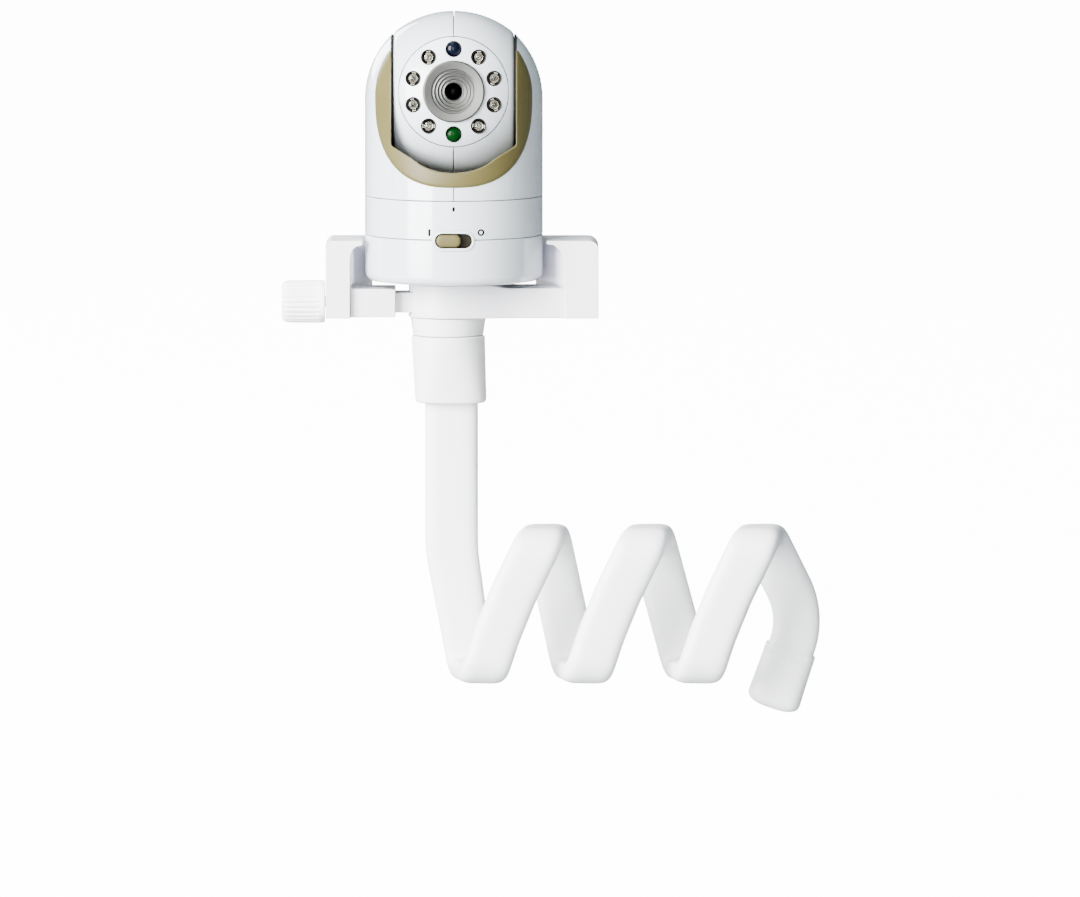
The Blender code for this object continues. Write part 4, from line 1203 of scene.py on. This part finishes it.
def dress_frame():
    """Give every carried-over CAD node its working finish."""
    for name, ob in frame["nodes"].items():
        if not ob.hide_render:
            kinds = [k for k, words in WORKING.items() if any(w in name for w in words)]
            ob.data.materials.clear()
            ob.data.materials.append(FINISH[kinds[0] if kinds else "shell_white"])


def blend_shaders(tree, first, second, out):
    """Mix two shaders into an output; the mix factor is returned for linking."""
    mix = new_node(tree, "MixShader")
    tree.links.new(first.outputs[0], mix.inputs[1])
    tree.links.new(second.outputs[0], mix.inputs[2])
    tree.links.new(mix.outputs[0], tree.nodes[out].inputs["Surface"])
    return mix.inputs["Fac"]


def stage():
    """Pale floor that blends into the pale surround, clear when seen from below."""
    radius, drop, white = 9.0, 0.05, (1.0, 1.0, 1.0, 1.0)
    rim = [(radius * cos(a), radius * sin(a), CAD_BOX[0].z - drop) for a in circle(64)]
    mesh = bpy.data.meshes.new("floor_sheet")
    mesh.from_pydata(rim, [], [tuple(range(len(rim)))])
    mat = finish("floor_paper", (0.28, 0.30, 0.32), 0.9, speck=0.004, grain=0.02)
    tree = mat.node_tree
    shader = tree.nodes["Principled BSDF"]
    put(shader, Emission_Color=white)
    glow = new_node(tree, "Math", "MULTIPLY", 14.0)
    tree.links.new(new_node(tree, "LightPath").outputs["Is Camera Ray"], glow.inputs[0])
    tree.links.new(glow.outputs[0], shader.inputs["Emission Strength"])
    factor = blend_shaders(tree, shader, new_node(tree, "BsdfTransparent"), "Material Output")
    tree.links.new(new_node(tree, "NewGeometry").outputs["Backfacing"], factor)
    mesh.materials.append(mat)
    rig.stage(placed("floor_sheet", mesh))


def surround():
    """White to the camera; to the surfaces, bright at the left front and cool elsewhere."""
    world = bpy.data.worlds.new("studio")
    bpy.context.scene.world = world
    world.use_nodes = True
    tree = world.node_tree
    link = tree.links.new
    towards = Vector((-0.62, -0.74, 0.25)).normalized()
    dot, ramp = new_node(tree, "VectorMath", "DOT_PRODUCT", towards), new_node(tree, "ValToRGB")
    scale = new_node(tree, "MapRange", From_Min=-1.0, From_Max=1.0)
    link(new_node(tree, "TexCoord").outputs["Generated"], dot.inputs[0])
    link(dot.outputs["Value"], scale.inputs["Value"])
    link(scale.outputs["Result"], ramp.inputs["Fac"])
    stops = ramp.color_ramp.elements
    stops[0].position, stops[0].color = 0.2, (0.085, 0.12, 0.14, 1)
    stops[1].position, stops[1].color = 0.95, (1.0, 1.0, 1.0, 1)
    stops.new(0.6).color = (0.15, 0.18, 0.20, 1)
    back = tree.nodes["Background"]
    put(back, Strength=2.2)
    link(ramp.outputs["Color"], back.inputs["Color"])
    white = new_node(tree, "Background", Strength=14.3, Color=(1.0, 1.0, 1.0, 1.0))
    link(new_node(tree, "LightPath").outputs["Is Camera Ray"],
         blend_shaders(tree, back, white, "World Output"))


def area_lights():
    """Big soft key from the left front, with weak fills at the front, top and back."""
    aim = ORIGIN + Vector((0.02, 0, 0.0))
    for name, width, height, power, at, colour in (
            ("key", 1.7, 1.9, 560, (-1.85, -1.85, 0.7), (1, 1, 1)),
            ("front", 0.7, 1.2, 30, (-0.3, -2.6, 0.5), (0.97, 0.985, 1.0)),
            ("top", 1.0, 1.0, 30, (-0.6, -0.5, 2.2), (1, 1, 1)),
            ("rear", 1.2, 1.2, 60, (-1.3, 2.2, 0.9), (1, 1, 1))):
        data = bpy.data.lights.new(name, "AREA")
        data.shape, data.size, data.size_y = "RECTANGLE", width, height
        data.energy, data.color = power, colour
        ob = placed(name, data)
        ob.location = aim + Vector(at)
        ob.rotation_euler = (-Vector(at)).to_track_quat("-Z", "Y").to_euler()


def camera():
    """Long lens far in front, looking slightly down."""
    data = bpy.data.cameras.new("view")
    cam = placed("view", data)
    bpy.context.scene.camera = cam
    far, tilt, view_width, sensor = 10.0, radians(5.0), 0.4558, 36.0
    target = ORIGIN + Vector((0.0363, 0.0, -0.0713))
    back = Vector((0, -cos(tilt), sin(tilt)))
    cam.location = target + back * far
    cam.rotation_mode = "QUATERNION"
    cam.rotation_quaternion = (-back).to_track_quat("-Z", "Y")
    data.sensor_width = sensor
    data.lens = sensor * far / view_width
    data.clip_start, data.clip_end = 0.1, 60.0


for build in (base_shells, switch, marks, base_rear, yoke, seam_shade_fills, slit_shade_discs, trim, head, face,
              lights, lens, clamp, knob, arm, sleeve, dress_frame, stage, surround, area_lights,
              camera):
    build()

SIZES = {"cad": [list(p) for p in CAD_BOX], "visual": [list(p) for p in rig.bounds()]}
with open("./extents.json", "w") as out_file:
    json.dump(SIZES, out_file)
